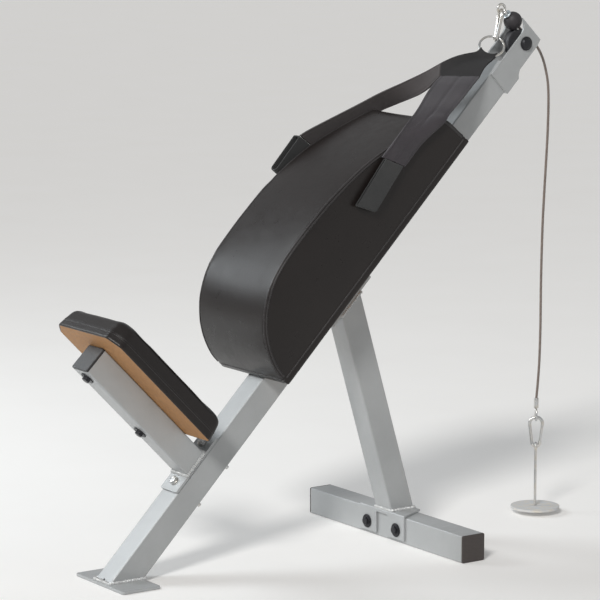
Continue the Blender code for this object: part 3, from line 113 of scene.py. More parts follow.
# Finishes: an input is a number, a colour or another node's output
def setInputs(tree, node, inputs):
    for key, value in inputs.items():
        if isinstance(value, bpy.types.NodeSocket):
            tree.links.new(value, node.inputs[key])
        else:
            node.inputs[key].default_value = value


def build(tree, kind, inputs, output=0, **settings):
    node = tree.nodes.new("ShaderNode" + kind)
    for key, value in settings.items():
        setattr(node, key, value)
    setInputs(tree, node, inputs)
    return node.outputs[output]


def startFinish(name, colour, roughness, metallic=0.0):
    made = bpy.data.materials.new(name)
    made.use_nodes = True
    made.diffuse_color = (*colour, 1.0)
    shader = made.node_tree.nodes["Principled BSDF"]
    inputs = {"Base Color": (*colour, 1.0), "Roughness": roughness, "Metallic": metallic}
    setInputs(made.node_tree, shader, inputs)
    return made, made.node_tree, shader


def mapped(tree, source="Object", scale=(1, 1, 1), turn=(0, 0, 0)):
    where = build(tree, "TexCoord", {}, source)
    return build(tree, "Mapping", {"Vector": where, "Scale": scale, "Rotation": turn})


def grainNoise(tree, vector, scale, detail=4.0, roughness=0.55, distortion=0.0):
    inputs = {"Vector": vector, "Scale": scale, "Detail": detail, "Roughness": roughness,
              "Distortion": distortion}
    return build(tree, "TexNoise", inputs, "Fac")


def cells(tree, vector, scale, feature="F1"):
    return build(tree, "TexVoronoi", {"Vector": vector, "Scale": scale}, "Distance", feature=feature)


def ramped(tree, value, *stops):
    node = tree.nodes.new("ShaderNodeValToRGB")
    while len(node.color_ramp.elements) < len(stops):
        node.color_ramp.elements.new(0.5)
    for element, (place, colour) in zip(node.color_ramp.elements, stops):
        element.position = place
        element.color = (*colour, 1.0)
    tree.links.new(value, node.inputs["Fac"])
    return node.outputs["Color"]


def spread(tree, value, low, high):
    # noise mostly lies between 0.3 and 0.7
    inputs = {"Value": value, "From Min": 0.3, "From Max": 0.7, "To Min": low, "To Max": high}
    return build(tree, "MapRange", inputs, "Result")


def maths(tree, operation, first, second=None):
    inputs = {0: first} if second is None else {0: first, 1: second}
    return build(tree, "Math", inputs, operation=operation)


def multiplied(tree, first, second):
    inputs = {"Factor": 1.0, 6: first, 7: second}
    return build(tree, "Mix", inputs, 2, data_type="RGBA", blend_type="MULTIPLY")


def bumped(tree, *layers):
    normal = None
    for height, strength, distance in layers:
        inputs = {"Height": height, "Strength": strength, "Distance": distance}
        if normal is not None:
            inputs["Normal"] = normal
        normal = build(tree, "Bump", inputs)
    return normal


def shade(colour, factor):
    return tuple(part * factor for part in colour)


def grey(level):
    return (level, level, level)


def uvParts(tree):
    parts = tree.nodes.new("ShaderNodeSeparateXYZ")
    tree.links.new(mapped(tree, "UV"), parts.inputs["Vector"])
    return parts.outputs["X"], parts.outputs["Y"]


def fromWave(tree, wave):
    # a wave from -1 to 1 becomes a share from 0 to 1
    return maths(tree, "ADD", maths(tree, "MULTIPLY", wave, 0.5), 0.5)


def makePaint(name, colour, peelBump=0.16):
    made, tree, shader = startFinish(name, colour, 0.36, 0.18)
    vector = mapped(tree)
    speckle = cells(tree, vector, 1500.0)
    peel = grainNoise(tree, vector, 260.0, 2.0)
    cloud = grainNoise(tree, vector, 9.0, 5.0)
    smear = grainNoise(tree, mapped(tree, scale=(1, 3, 1)), 34.0, 3.0)
    flake = ramped(tree, speckle, (0.0, shade(colour, 1.10)), (0.35, colour), (1.0, shade(colour, 0.90)))
    dull = ramped(tree, cloud, (0.30, grey(0.93)), (0.70, grey(1.05)))
    setInputs(tree, shader, {
        "Base Color": multiplied(tree, flake, dull), "Roughness": spread(tree, smear, 0.30, 0.46),
        "Normal": bumped(tree, (speckle, 0.10, 0.0002), (peel, peelBump, 0.0006)),
        "Coat Weight": 0.18, "Coat Roughness": 0.22,
    })
    return made


def makeVinyl(name, colour, roughness):
    made, tree, shader = startFinish(name, colour, roughness)
    vector = mapped(tree)
    pebble = cells(tree, vector, 620.0, "SMOOTH_F1")
    pore = cells(tree, vector, 1500.0)
    crease = grainNoise(tree, vector, 42.0, 6.0, 0.6, 0.4)
    cloud = grainNoise(tree, vector, 6.0, 3.0)
    tone = ramped(tree, cloud, (0.30, shade(colour, 0.88)), (0.72, shade(colour, 1.16)))
    grain = ramped(tree, pebble, (0.05, grey(1.18)), (0.55, grey(0.82)))
    rough = spread(tree, cloud, roughness - 0.04, roughness + 0.05)
    setInputs(tree, shader, {
        "Base Color": multiplied(tree, tone, grain), "Specular IOR Level": 0.33,
        "Roughness": maths(tree, "ADD", spread(tree, crease, -0.05, 0.06), rough),
        "Normal": bumped(tree, (cloud, 0.05, 0.004), (crease, 0.09, 0.0012), (pebble, 0.34, 0.0004),
                         (pore, 0.14, 0.0002)),
    })
    return made


def makePlywood(name, turn):
    wood = (0.48, 0.245, 0.095)
    made, tree, shader = startFinish(name, wood, 0.6)
    fibre = grainNoise(tree, mapped(tree, scale=(4, 60, 60), turn=turn), 2.4, 6.0, 0.62, 0.6)
    pores = grainNoise(tree, mapped(tree, scale=(14, 700, 700), turn=turn), 1.6, 2.0)
    cloud = grainNoise(tree, mapped(tree, turn=turn), 7.0, 3.0)
    base = ramped(tree, fibre, (0.25, (0.36, 0.175, 0.065)), (0.48, wood), (0.75, (0.57, 0.315, 0.135)))
    dark = ramped(tree, pores, (0.34, (0.72, 0.66, 0.60)), (0.46, grey(1.0)))
    tint = ramped(tree, cloud, (0.30, (0.92, 0.90, 0.88)), (0.70, (1.06, 1.05, 1.04)))
    setInputs(tree, shader, {
        "Base Color": multiplied(tree, multiplied(tree, base, dark), tint),
        "Roughness": spread(tree, fibre, 0.50, 0.72),
        "Normal": bumped(tree, (fibre, 0.22, 0.0008), (pores, 0.30, 0.0004)),
    })
    return made


def makeZinc(name, colour, roughness=0.26, yellowBlue=0.90, grainScale=(40, 40, 600), metallic=1.0):
    made, tree, shader = startFinish(name, colour, roughness, metallic)
    cloud = grainNoise(tree, mapped(tree), 55.0, 4.0)
    drawn = grainNoise(tree, mapped(tree, scale=grainScale), 3.0, 2.0)
    red, green, blue = colour
    cool, yellow = (red * 0.90, green * 0.95, blue * 1.02), (red * 1.06, green, blue * yellowBlue)
    setInputs(tree, shader, {
        "Base Color": ramped(tree, cloud, (0.30, cool), (0.52, colour), (0.74, yellow)),
        "Roughness": spread(tree, drawn, roughness - 0.07, roughness + 0.12),
        "Normal": bumped(tree, (drawn, 0.10, 0.0002), (cloud, 0.08, 0.0005)),
    })
    return made


def makeBlackSteel(name, colour):
    made, tree, shader = startFinish(name, colour, 0.38, 0.55)
    wear = grainNoise(tree, mapped(tree), 260.0, 5.0, 0.65)
    cloud = grainNoise(tree, mapped(tree), 60.0, 3.0)
    tones = (0.0, (0.022, 0.022, 0.026)), (0.62, colour), (0.80, (0.16, 0.15, 0.15))
    setInputs(tree, shader, {
        "Base Color": ramped(tree, wear, *tones), "Roughness": spread(tree, cloud, 0.30, 0.50),
        "Normal": bumped(tree, (wear, 0.20, 0.0003)),
    })
    return made


def makePlastic(name, colour, roughness, grain=900.0):
    made, tree, shader = startFinish(name, colour, roughness)
    stipple = cells(tree, mapped(tree), grain)
    scuff = grainNoise(tree, mapped(tree, scale=(1, 1, 3)), 90.0, 5.0, 0.7)
    scuffed = tuple(part * 1.5 + 0.01 for part in colour)
    tones = (0.30, shade(colour, 0.86)), (0.66, shade(colour, 1.15)), (0.80, scuffed)
    setInputs(tree, shader, {
        "Base Color": ramped(tree, scuff, *tones),
        "Roughness": spread(tree, scuff, roughness - 0.08, roughness + 0.10),
        "Normal": bumped(tree, (stipple, 0.20, 0.0002), (scuff, 0.10, 0.0004)),
    })
    return made


def makeCable(name, strandsRound=62.0, strandsAlong=7.0):
    made, tree, shader = startFinish(name, (0.20, 0.155, 0.13), 0.30)
    u, v = uvParts(tree)
    strands = maths(tree, "SINE", maths(tree, "ADD", maths(tree, "MULTIPLY", u, 2 * math.pi * strandsRound),
                                        maths(tree, "MULTIPLY", v, 2 * math.pi * strandsAlong)))
    cloud = grainNoise(tree, mapped(tree), 40.0, 3.0)
    tones = (0.15, (0.085, 0.062, 0.052)), (0.55, (0.19, 0.15, 0.13)), (0.92, (0.33, 0.28, 0.25))
    haze = ramped(tree, cloud, (0.32, (0.88, 0.86, 0.85)), (0.70, (1.08, 1.06, 1.04)))
    setInputs(tree, shader, {
        "Base Color": multiplied(tree, ramped(tree, fromWave(tree, strands), *tones), haze),
        "Roughness": spread(tree, cloud, 0.24, 0.38), "Normal": bumped(tree, (strands, 0.14, 0.0003)),
        "Coat Weight": 0.5, "Coat Roughness": 0.16,
    })
    return made


def makeWebbing(name, colour, pitchAcross=0.0018, pitchAlong=0.0022, sheen=0.25, ribs=0.75):
    made, tree, shader = startFinish(name, colour, 0.82)
    u, v = uvParts(tree)
    warp = maths(tree, "SINE", maths(tree, "MULTIPLY", u, 2 * math.pi / pitchAcross))
    weft = maths(tree, "SINE", maths(tree, "ADD", maths(tree, "MULTIPLY", v, 2 * math.pi / pitchAlong),
                                     maths(tree, "MULTIPLY", warp, 1.5)))
    weave = maths(tree, "ADD", maths(tree, "MULTIPLY", weft, 0.5 * ribs),
                  maths(tree, "MULTIPLY", warp, 0.5 * (1 - ribs) + 0.15))
    fuzz = grainNoise(tree, mapped(tree), 1400.0, 2.0)
    cloud = grainNoise(tree, mapped(tree), 16.0, 4.0)
    tones = (0.10, shade(colour, 0.55)), (0.60, colour), (0.95, shade(colour, 1.55))
    fade = ramped(tree, cloud, (0.30, (0.86, 0.86, 0.88)), (0.70, (1.16, 1.13, 1.14)))
    setInputs(tree, shader, {
        "Base Color": multiplied(tree, ramped(tree, fromWave(tree, weave), *tones), fade),
        "Roughness": spread(tree, fuzz, 0.72, 0.92),
        "Normal": bumped(tree, (cloud, 0.12, 0.002), (weave, 0.50, 0.0004), (fuzz, 0.25, 0.0002)),
        "Sheen Weight": sheen, "Sheen Roughness": 0.5,
    })
    return made


def makeThread(name, colour):
    made, tree, shader = startFinish(name, colour, 0.6)
    twist = grainNoise(tree, mapped(tree), 2600.0, 2.0)
    tone = ramped(tree, twist, (0.3, shade(colour, 0.7)), (0.7, shade(colour, 1.3)))
    setInputs(tree, shader, {"Base Color": tone, "Normal": bumped(tree, (twist, 0.4, 0.0002))})
    return made


finish = {
    "paint": makePaint("silverPaint", (0.45, 0.462, 0.466)),
    # the weld beads' paint is lighter than the frame paint: a painted highlight standing in for the glints on
    # the beads
    "weldPaint": makePaint("weldPaint", (0.58, 0.59, 0.59), peelBump=0.35),
    "vinyl": makeVinyl("blackVinyl", (0.0170, 0.0134, 0.0124), 0.32),
    # the seams' vinyl is lighter than the cover's, a painted highlight along the seam lines, and glossier
    "seamVinyl": makeVinyl("seamVinyl", (0.046, 0.042, 0.042), 0.28),
    "board": makePlywood("seatPlywood", (0, seatTurn, 0)),
    "padBoard": makePlywood("padPlywood", (0, beamAngle, 0)),
    "zinc": makeZinc("zincPlate", (0.62, 0.605, 0.58)),
    "discZinc": makeZinc("discZinc", (0.70, 0.69, 0.67), 0.55, grainScale=(60, 60, 60), metallic=0.3),
    "blueZinc": makeZinc("blueZinc", (0.62, 0.69, 0.74), 0.28, yellowBlue=0.94),
    "blackSteel": makeBlackSteel("blackOxide", (0.030, 0.030, 0.034)),
    "blackPlastic": makePlastic("blackCapPlastic", (0.035, 0.035, 0.037), 0.45),
    "capPlastic": makePlastic("brownCapPlastic", (0.060, 0.050, 0.047), 0.5),
    "rubber": makePlastic("ballRubber", (0.032, 0.028, 0.031), 0.55, grain=700.0),
    "nylon": makePlastic("pulleyNylon", (0.050, 0.050, 0.055), 0.40),
    "bronze": makeZinc("bushBronze", (0.50, 0.34, 0.18), 0.35),
    "cable": makeCable("coatedCable"),
    "strap": makeWebbing("strapWebbing", (0.046, 0.040, 0.046)),
    "farStrap": makeWebbing("farStrapWebbing", (0.058, 0.050, 0.049)),
    "yoke": makeWebbing("yokeWebbing", (0.021, 0.020, 0.0205), sheen=0.06),
    "loop": makeWebbing("loopWebbing", (0.040, 0.041, 0.041), 0.0016, 0.0016, sheen=0.15, ribs=0.5),
    "thread": makeThread("blackThread", (0.035, 0.033, 0.036)),
}
print("finishes made:", len(finish))


# Shared tools
def smoothed(mesh, sharpFrom):
    mesh.shade_smooth()
    mesh.set_sharp_from_angle(angle=math.radians(sharpFrom))


def newPiece(name, mesh):
    piece = bpy.data.objects.new(name, mesh)
    scene.collection.objects.link(piece)
    return piece


def dress(piece, material, body, slot, sharpFrom=None, replaces=()):
    mesh = piece.data
    mesh.materials.clear()
    mesh.materials.append(finish[material])
    if sharpFrom is None:
        mesh.shade_smooth()
    else:
        smoothed(mesh, sharpFrom)
    if body:
        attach(piece, body)
    if replaces:
        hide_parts(*replaces)
    return piece


def addPiece(name, mesh, *facts):
    return dress(newPiece(name, mesh), *facts)


def standFor(piece, node):
    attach(piece, frame["nodes"][node]["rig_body"])
    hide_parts(node)


def toMesh(bm, name, fixNormals=False):
    if fixNormals:
        bmesh.ops.recalc_face_normals(bm, faces=bm.faces[:])
    mesh = bpy.data.meshes.new(name)
    bm.to_mesh(mesh)
    bm.free()
    return mesh


def applyAll(piece):
    graph = bpy.context.evaluated_depsgraph_get()
    mesh = bpy.data.meshes.new_from_object(piece.evaluated_get(graph))
    piece.modifiers.clear()
    mesh.name = piece.data.name
    piece.data = mesh


def mergedCopy(node):
    bm = bmesh.new()
    bm.from_mesh(frame["nodes"][node].data)
    bmesh.ops.remove_doubles(bm, verts=bm.verts[:], dist=0.00003)
    return bm


def edgesSharperThan(bm, degrees):
    return [edge for edge in bm.edges
            if len(edge.link_faces) == 2 and edge.calc_face_angle(0.0) > math.radians(degrees)]


slotOf = {"blackSteel": "black_steel", "blackPlastic": "black_plastic", "capPlastic": "cap_plastic",
          "padBoard": "board", "discZinc": "zinc", "blueZinc": "zinc"}
rounding = {"joinFrom": 25.0, "creaseFrom": 38.0, "crease": 0.9, "levels": 2, "passes": 3, "sharpFrom": 60}


def roundedCopy(name, node, material):
    bm = mergedCopy(node)
    bmesh.ops.join_triangles(bm, faces=bm.faces[:], angle_face_threshold=math.radians(rounding["joinFrom"]),
                             angle_shape_threshold=math.radians(80.0))
    layer = bm.edges.layers.float.new("crease_edge")
    for edge in edgesSharperThan(bm, rounding["creaseFrom"]):
        edge[layer] = rounding["crease"]
    piece = newPiece(name, toMesh(bm, name, True))
    # the cage is pushed out until the rounded surface passes through the CAD's own points
    wanted = [vert.co.copy() for vert in piece.data.vertices]
    smoother = piece.modifiers.new("rounding", "SUBSURF")
    smoother.levels = smoother.render_levels = rounding["levels"]
    for turn in range(rounding["passes"]):
        bpy.context.view_layer.update()
        rounded = piece.evaluated_get(bpy.context.evaluated_depsgraph_get()).to_mesh()
        steps = [goal - rounded.vertices[index].co for index, goal in enumerate(wanted)]
        for vert, step in zip(piece.data.vertices, steps):
            vert.co += step
        piece.data.update()
    applyAll(piece)
    dress(piece, material, None, slotOf.get(material, material), rounding["sharpFrom"])
    standFor(piece, node)


def bevelledCopy(name, node, material, width):
    bm = mergedCopy(node)
    bmesh.ops.dissolve_limit(bm, angle_limit=math.radians(0.6), verts=bm.verts[:], edges=bm.edges[:])
    bmesh.ops.bevel(bm, geom=edgesSharperThan(bm, 32.0), offset=width, offset_type="OFFSET", affect="EDGES",
                    segments=3, profile=0.5, clamp_overlap=True, material=-1)
    piece = addPiece(name, toMesh(bm, name), material, None, slotOf.get(material, material), 50)
    even = piece.modifiers.new("evenShading", "WEIGHTED_NORMAL")
    even.keep_sharp = True
    even.weight = 60
    applyAll(piece)
    standFor(piece, node)


def tubeMesh(name, points, radius, sides=12, closed=False, radii=None):
    curve = bpy.data.curves.new(name, "CURVE")
    curve.dimensions = "3D"
    curve.bevel_depth = radius
    curve.bevel_resolution = sides // 4 - 1
    curve.use_fill_caps = not closed
    curve.twist_mode = "MINIMUM"
    spline = curve.splines.new("POLY")
    spline.points.add(len(points) - 1)
    for index, point in enumerate(points):
        spline.points[index].co = (*point, 1.0)
        if radii:
            spline.points[index].radius = radii[index]
    spline.use_cyclic_u = closed
    holder = newPiece(name, curve)
    bpy.context.view_layer.update()
    mesh = bpy.data.meshes.new_from_object(holder.evaluated_get(bpy.context.evaluated_depsgraph_get()))
    bpy.data.objects.remove(holder)
    mesh.name = name
    return mesh


def runLengths(points):
    spans = [0.0]
    for first, second in zip(points, points[1:]):
        spans.append(spans[-1] + (second - first).length)
    return spans


def smoothPath(route, count, closed=False, between=24):
    knots = [Vector(point) for point in route]
    if closed:
        padded = [knots[-1]] + knots + [knots[0], knots[1]]
    else:
        padded = [knots[0] * 2 - knots[1]] + knots + [knots[-1] * 2 - knots[-2]]
    fine = []
    for index in range(1, len(padded) - 2):
        before, start, end, after = padded[index - 1:index + 3]
        for step in range(between):
            t = step / between
            fine.append(0.5 * ((2 * start) + (end - before) * t
                               + (2 * before - 5 * start + 4 * end - after) * t * t
                               + (3 * start - before - 3 * end + after) * t ** 3))
    fine.append(padded[-2].copy())
    spans = runLengths(fine)
    marks = np.linspace(0.0, spans[-1], count)
    columns = [np.interp(marks, spans, [point[axis] for point in fine]) for axis in range(3)]
    return [Vector(values) for values in zip(*columns)]


def joined(name, meshes):
    bm = bmesh.new()
    for mesh in meshes:
        bm.from_mesh(mesh)
        bpy.data.meshes.remove(mesh)
    return toMesh(bm, name)


stitch = {"length": 0.0032, "gap": 0.0016, "radius": 0.00045, "endShare": 0.55, "belly": 1.8, "rise": 0.9}


def stitchMesh(name, rows, length=stitch["length"], gap=stitch["gap"]):
    # rows are (points, normals): short threads lie along the points, sunk a little at both ends
    bm = bmesh.new()
    thin = stitch["radius"] * stitch["endShare"]
    for points, normals in rows:
        spans = runLengths(points)
        placeAt = 0.0
        while placeAt + length < spans[-1]:
            middle = placeAt + length / 2
            index = min(max(int(np.searchsorted(spans, middle)) - 1, 0), len(points) - 2)
            share = (middle - spans[index]) / max(spans[index + 1] - spans[index], 1e-9)
            at = points[index].lerp(points[index + 1], share)
            ahead = (points[index + 1] - points[index]).normalized()
            up = normals[index].normalized()
            turn = Matrix((ahead.cross(up).normalized(), up, ahead)).transposed().to_4x4()
            verts = bmesh.ops.create_cone(bm, cap_ends=True, segments=6, radius1=thin, radius2=thin,
                                          depth=length, matrix=Matrix.Translation(at) @ turn)["verts"]
            long = [edge for edge in dict.fromkeys(edge for vert in verts for edge in vert.link_edges)
                    if abs((edge.verts[0].co - edge.verts[1].co).dot(ahead)) > length * 0.5]
            cut = bmesh.ops.subdivide_edges(bm, edges=long, cuts=1)
            for vert in {item for item in cut["geom_inner"] if isinstance(item, bmesh.types.BMVert)}:
                vert.co = at + (vert.co - at) * stitch["belly"] + up * stitch["radius"] * stitch["rise"]
            placeAt += length + gap
    return toMesh(bm, name)


# Hard parts that keep their CAD shape: plates and tubes get a bevel of the width given in mm
plates = {
    "footPlate": ("front_foot_plate", "paint", 0.9), "mainBeamTube": ("main_beam", "paint", 0.5),
    "seatFixingPlate": ("seat_plate", "paint", 0.7), "seatSupportTube": ("seat_tube", "paint", 0.5),
    "rearLegTube": ("rear_leg", "paint", 0.5), "legFixingPlate": ("leg_top_plate", "paint", 0.7),
    "legSaddlePlate": ("leg_saddle", "paint", 0.7), "stabiliserTube": ("rear_stabiliser", "paint", 0.5),
    "nearCheekPlate": ("bracket_cheek_near", "paint", 0.8),
    "farCheekPlate": ("bracket_cheek_far", "paint", 0.8), "bracketWebPlate": ("bracket_web", "paint", 0.7),
    "seatTubeEndCap": ("seat_tube_cap", "blackPlastic", 1.0),
    "nearStabiliserCap": ("stabiliser_cap_near", "capPlastic", 0.8),
    "farStabiliserCap": ("stabiliser_cap_far", "capPlastic", 0.8),
    "seatPlywoodBoard": ("seat_board", "board", 0.6),
    "backPadPlywoodBoard": ("back_pad_board", "padBoard", 0.6),
}
for name, (node, material, width) in plates.items():
    bevelledCopy(name, node, material, width / 1000)
print("plates and tubes dressed:", len(plates))

# Bolts, nuts, hooks and the like are rounded, grouped by finish
hardware = {
    "blackSteel": {
        "seatBoltFrontHead": "seat_bolt_front", "seatBoltRearHead": "seat_bolt_rear",
        "legBoltLowerHead": "leg_bolt_lower", "legBoltUpperHead": "leg_bolt_upper",
        "saddleBoltNearHead": "saddle_bolt_near", "saddleBoltFarHead": "saddle_bolt_far",
        "padBoltLowerHead": "pad_bolt_lower", "padBoltUpperHead": "pad_bolt_upper",
        "axleDomeBolt": "pulley_axle_bolt",
    },
    "zinc": {
        "seatPlateBoltLowerHead": "seat_plate_bolt_lower",
        "seatPlateBoltUpperHead": "seat_plate_bolt_upper",
        "seatPlateLockNutLower": "seat_plate_nut_lower", "seatPlateLockNutUpper": "seat_plate_nut_upper",
        "legWeldNutLow": "leg_weld_nut_lower", "legWeldNutHigh": "leg_weld_nut_upper",
        "saddleLockNutNear": "saddle_nut_near", "saddleLockNutFar": "saddle_nut_far",
        "axleLockNut": "pulley_axle_nut", "axleSpacerNear": "pulley_spacer_near",
        "axleSpacerFar": "pulley_spacer_far", "cableFerruleSleeve": "cable_ferrule",
        "cableEndLoop": "cable_thimble", "loadHookWire": "rear_carabiner",
        "loadHookGate": "rear_carabiner_gate", "weightPinRod": "loading_rod",
        "cableEyeBolt": "cable_eye", "frontHookWire": "front_carabiner",
        "frontHookGate": "front_carabiner_gate", "harnessRingWire": "harness_ring",
    },
    "discZinc": {"weightPinDisc": "loading_disc"}, "blueZinc": {"stopWasherZinc": "stop_washer"},
    "bronze": {"pulleyBush": "pulley_bearing"}, "nylon": {"pulleyWheel": "pulley"},
    "rubber": {"stopBallRubber": "stop_ball"},
}
for material, group in hardware.items():
    for name, node in group.items():
        roundedCopy(name, node, material)
print("hardware dressed:", sum(len(group) for group in hardware.values()))

# Welds: small rippled beads where the tubes meet their plates
welds = {
    "radius": 0.0040, "cheekRadius": 0.0013, "step": 0.0011, "ripple": 0.0044, "depth": 0.26,
    "out": 0.0006, "lift": 0.0012, "plateTop": 0.0065, "seatFront": 0.0073, "seatRun": 0.0643,
    "legTop": (0.8245, -0.0701), "legFoot": 0.7284, "saddleTop": 0.0688, "before": 0.0008, "behind": 0.0005,
    "cheekAlong": 1.5021, "cheekDepth": 0.0665, "cheekOut": 0.0014, "cheekFront": 0.0002,
    # lesser waves of a bead's width: share, rate and start
    "uneven": ((0.5, 811.0, 0.0), (0.4, 307.0, 1.0)),
}


def beadMesh(name, corners, radius, closed=True):
    ends = corners + corners[:1] if closed else corners
    points = []
    for first, second in zip(ends, ends[1:]):
        count = max(int((second - first).length / welds["step"]), 2)
        points += [first.lerp(second, index / count) for index in range(count)]
    if not closed:
        points.append(ends[-1])
    radii = []
    for index in range(len(points)):
        run = index * welds["step"]
        wave = math.sin(2 * math.pi * run / welds["ripple"])
        wave += sum(share * math.sin(run * rate + start) for share, rate, start in welds["uneven"])
        radii.append(1.0 + welds["depth"] * wave)
    return tubeMesh(name, points, radius, closed=closed, radii=radii)


half = tubeSide / 2
beside = half + welds["out"]


def roundTube(start, end):
    # corners of a bead round a tube, from a point before it and one behind it
    aside = Vector((0, beside, 0))
    return [start - aside, end - aside, end + aside, start + aside]


footX = bench["beamOrigin"][0] - welds["before"]
footRun = tubeSide / math.tan(beamAngle)
footRear = bench["beamOrigin"][0] + footRun * math.cos(beamAngle) + tubeSide * math.sin(beamAngle)
footLevel = welds["plateTop"] + welds["lift"]
alongLeg = Vector((-math.cos(legAngle), 0, math.sin(legAngle)))
frontOfLeg = Vector((-math.sin(legAngle), 0, -math.cos(legAngle)))
legFront = onBeam(welds["legTop"][0], 0, welds["legTop"][1])
legReach = tubeSide * frontOfLeg.dot(frontOfBeam) / alongLeg.dot(frontOfBeam)
legRear = legFront - frontOfLeg * tubeSide + alongLeg * legReach
saddleLevel = welds["saddleTop"] + welds["lift"]
legFootFront = welds["legFoot"] - welds["out"]
legFootRear = welds["legFoot"] + tubeSide / math.sin(legAngle) + welds["out"]
beads = {
    "footWeldBead": [Vector((footX, -half, footLevel)), Vector((footRear, -beside, footLevel)),
                     Vector((footRear + welds["out"], beside, footLevel)), Vector((footX, half, footLevel))],
    "seatTubeWeldBead": roundTube(onBeam(bench["seatAlong"] - welds["before"], 0, welds["seatFront"]),
                                  onBeam(bench["seatAlong"] + welds["seatRun"], 0, welds["seatFront"])),
    "legTopWeldBead": roundTube(legFront - Vector((welds["behind"], 0, welds["lift"])),
                                legRear + Vector((welds["behind"], 0, -welds["lift"]))),
    "legFootWeldBead": roundTube(Vector((legFootFront, 0, saddleLevel)),
                                 Vector((legFootRear, 0, saddleLevel))),
}
for name, corners in beads.items():
    # the beads wear the lighter weld paint, a painted highlight for their glints
    addPiece(name, beadMesh(name, corners, welds["radius"]), "weldPaint", "frame", "paint", 60)
cheekSide = half + welds["cheekOut"]
for name, side in (("nearCheekWeldBead", -cheekSide), ("farCheekWeldBead", cheekSide)):
    seam = [onBeam(welds["cheekAlong"], side, front) for front in (welds["cheekFront"], -welds["cheekDepth"])]
    addPiece(name, beadMesh(name, seam, welds["cheekRadius"], False), "weldPaint", "frame", "paint", 60)
print("weld beads laid")

# Cable: one coated wire rope from the stop ball over the pulley down to the weight pin
cable = {
    "radius": 0.003175, "tangent": (1.132837, 0.0, 1.173903), "slope": math.radians(-40.5),
    "toBall": 0.0423, "ballRadius": 0.0219, "sides": 16, "lead": (0.004, 0, -0.0035), "overlap": 0.0003,
    "intoBall": 0.002, "belowEnd": 0.0024, "thinner": 0.0001, "tracedDrop": 0.8926, "tracedEnd": 0.9992,
    # how far the hanging run stands out, at which share of its drop
    "shape": [(0.022, 0.0213), (0.044, 0.0430), (0.058, 0.0675), (0.067, 0.0920), (0.075, 0.1250),
              (0.079, 0.1570), (0.0802, 0.2050), (0.0790, 0.2670), (0.0768, 0.3205), (0.0740, 0.3740),
              (0.0705, 0.4430), (0.0675, 0.5100), (0.0655, 0.5915), (0.0645, 0.6720), (0.0645, 0.7420),
              (0.0645, 0.8110), (0.0626, 0.8950), (0.0590, 0.9530), (0.0560, 0.9870), (0.0548, 1.0000)],
}


def cablePiece(name, line, node, radius=cable["radius"], body=None):
    return addPiece(name, tubeMesh(name, line, radius, cable["sides"]), "cable", body, "cable", 60, [node])


tangent = Vector(cable["tangent"])
cableDrop = tangent.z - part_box("hanging_cable")[0].z
hangRoute = [tangent + Vector(cable["lead"])]
for aside, share in cable["shape"]:
    drop = cable["tracedDrop"] * share if share < 0.1 else cableDrop * min(share / cable["tracedEnd"], 1.0)
    hangRoute.append(Vector((tangent.x + aside, 0, tangent.z - drop)))
hangLine = smoothPath(hangRoute, 180)
hangingCable = cablePiece("hangingCableRun", hangLine, "hanging_cable")
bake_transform(hangingCable, "frame", "cable_load_end", start=hangLine[0], end=hangLine[-1])
cableAhead = Vector((math.cos(cable["slope"]), 0, math.sin(cable["slope"])))
ballExit = tangent - cableAhead * cable["toBall"] + cableAhead * cable["ballRadius"]
overEnd = hangLine[0] - (hangLine[1] - hangLine[0]).normalized() * cable["overlap"]
overLine = smoothPath([ballExit, ballExit.lerp(overEnd, 0.5), overEnd], 60)
overPulley = cablePiece("cableOverPulleyRun", overLine, "cable_over_pulley")
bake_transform(overPulley, "frame", "cable_pull_end", start=overLine[-1], end=overLine[0])
endLow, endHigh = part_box("cable_end")
inBall = Vector((endLow.x + cable["intoBall"], 0, endHigh.z - cable["belowEnd"]))
endLine = smoothPath([ballExit, ballExit.lerp(inBall, 0.5), inBall], 24)
cablePiece("cableInBallRun", endLine, "cable_end", cable["radius"] - cable["thinner"], "cable_pull_end")


# Cushions: a plain foam shape, inflated as cloth between its seams
vinylCloth = {"quality": 6, "mass": 0.3, "quickSwell": 0.8, "looseBelow": 0.5, "skin": 0.0002}


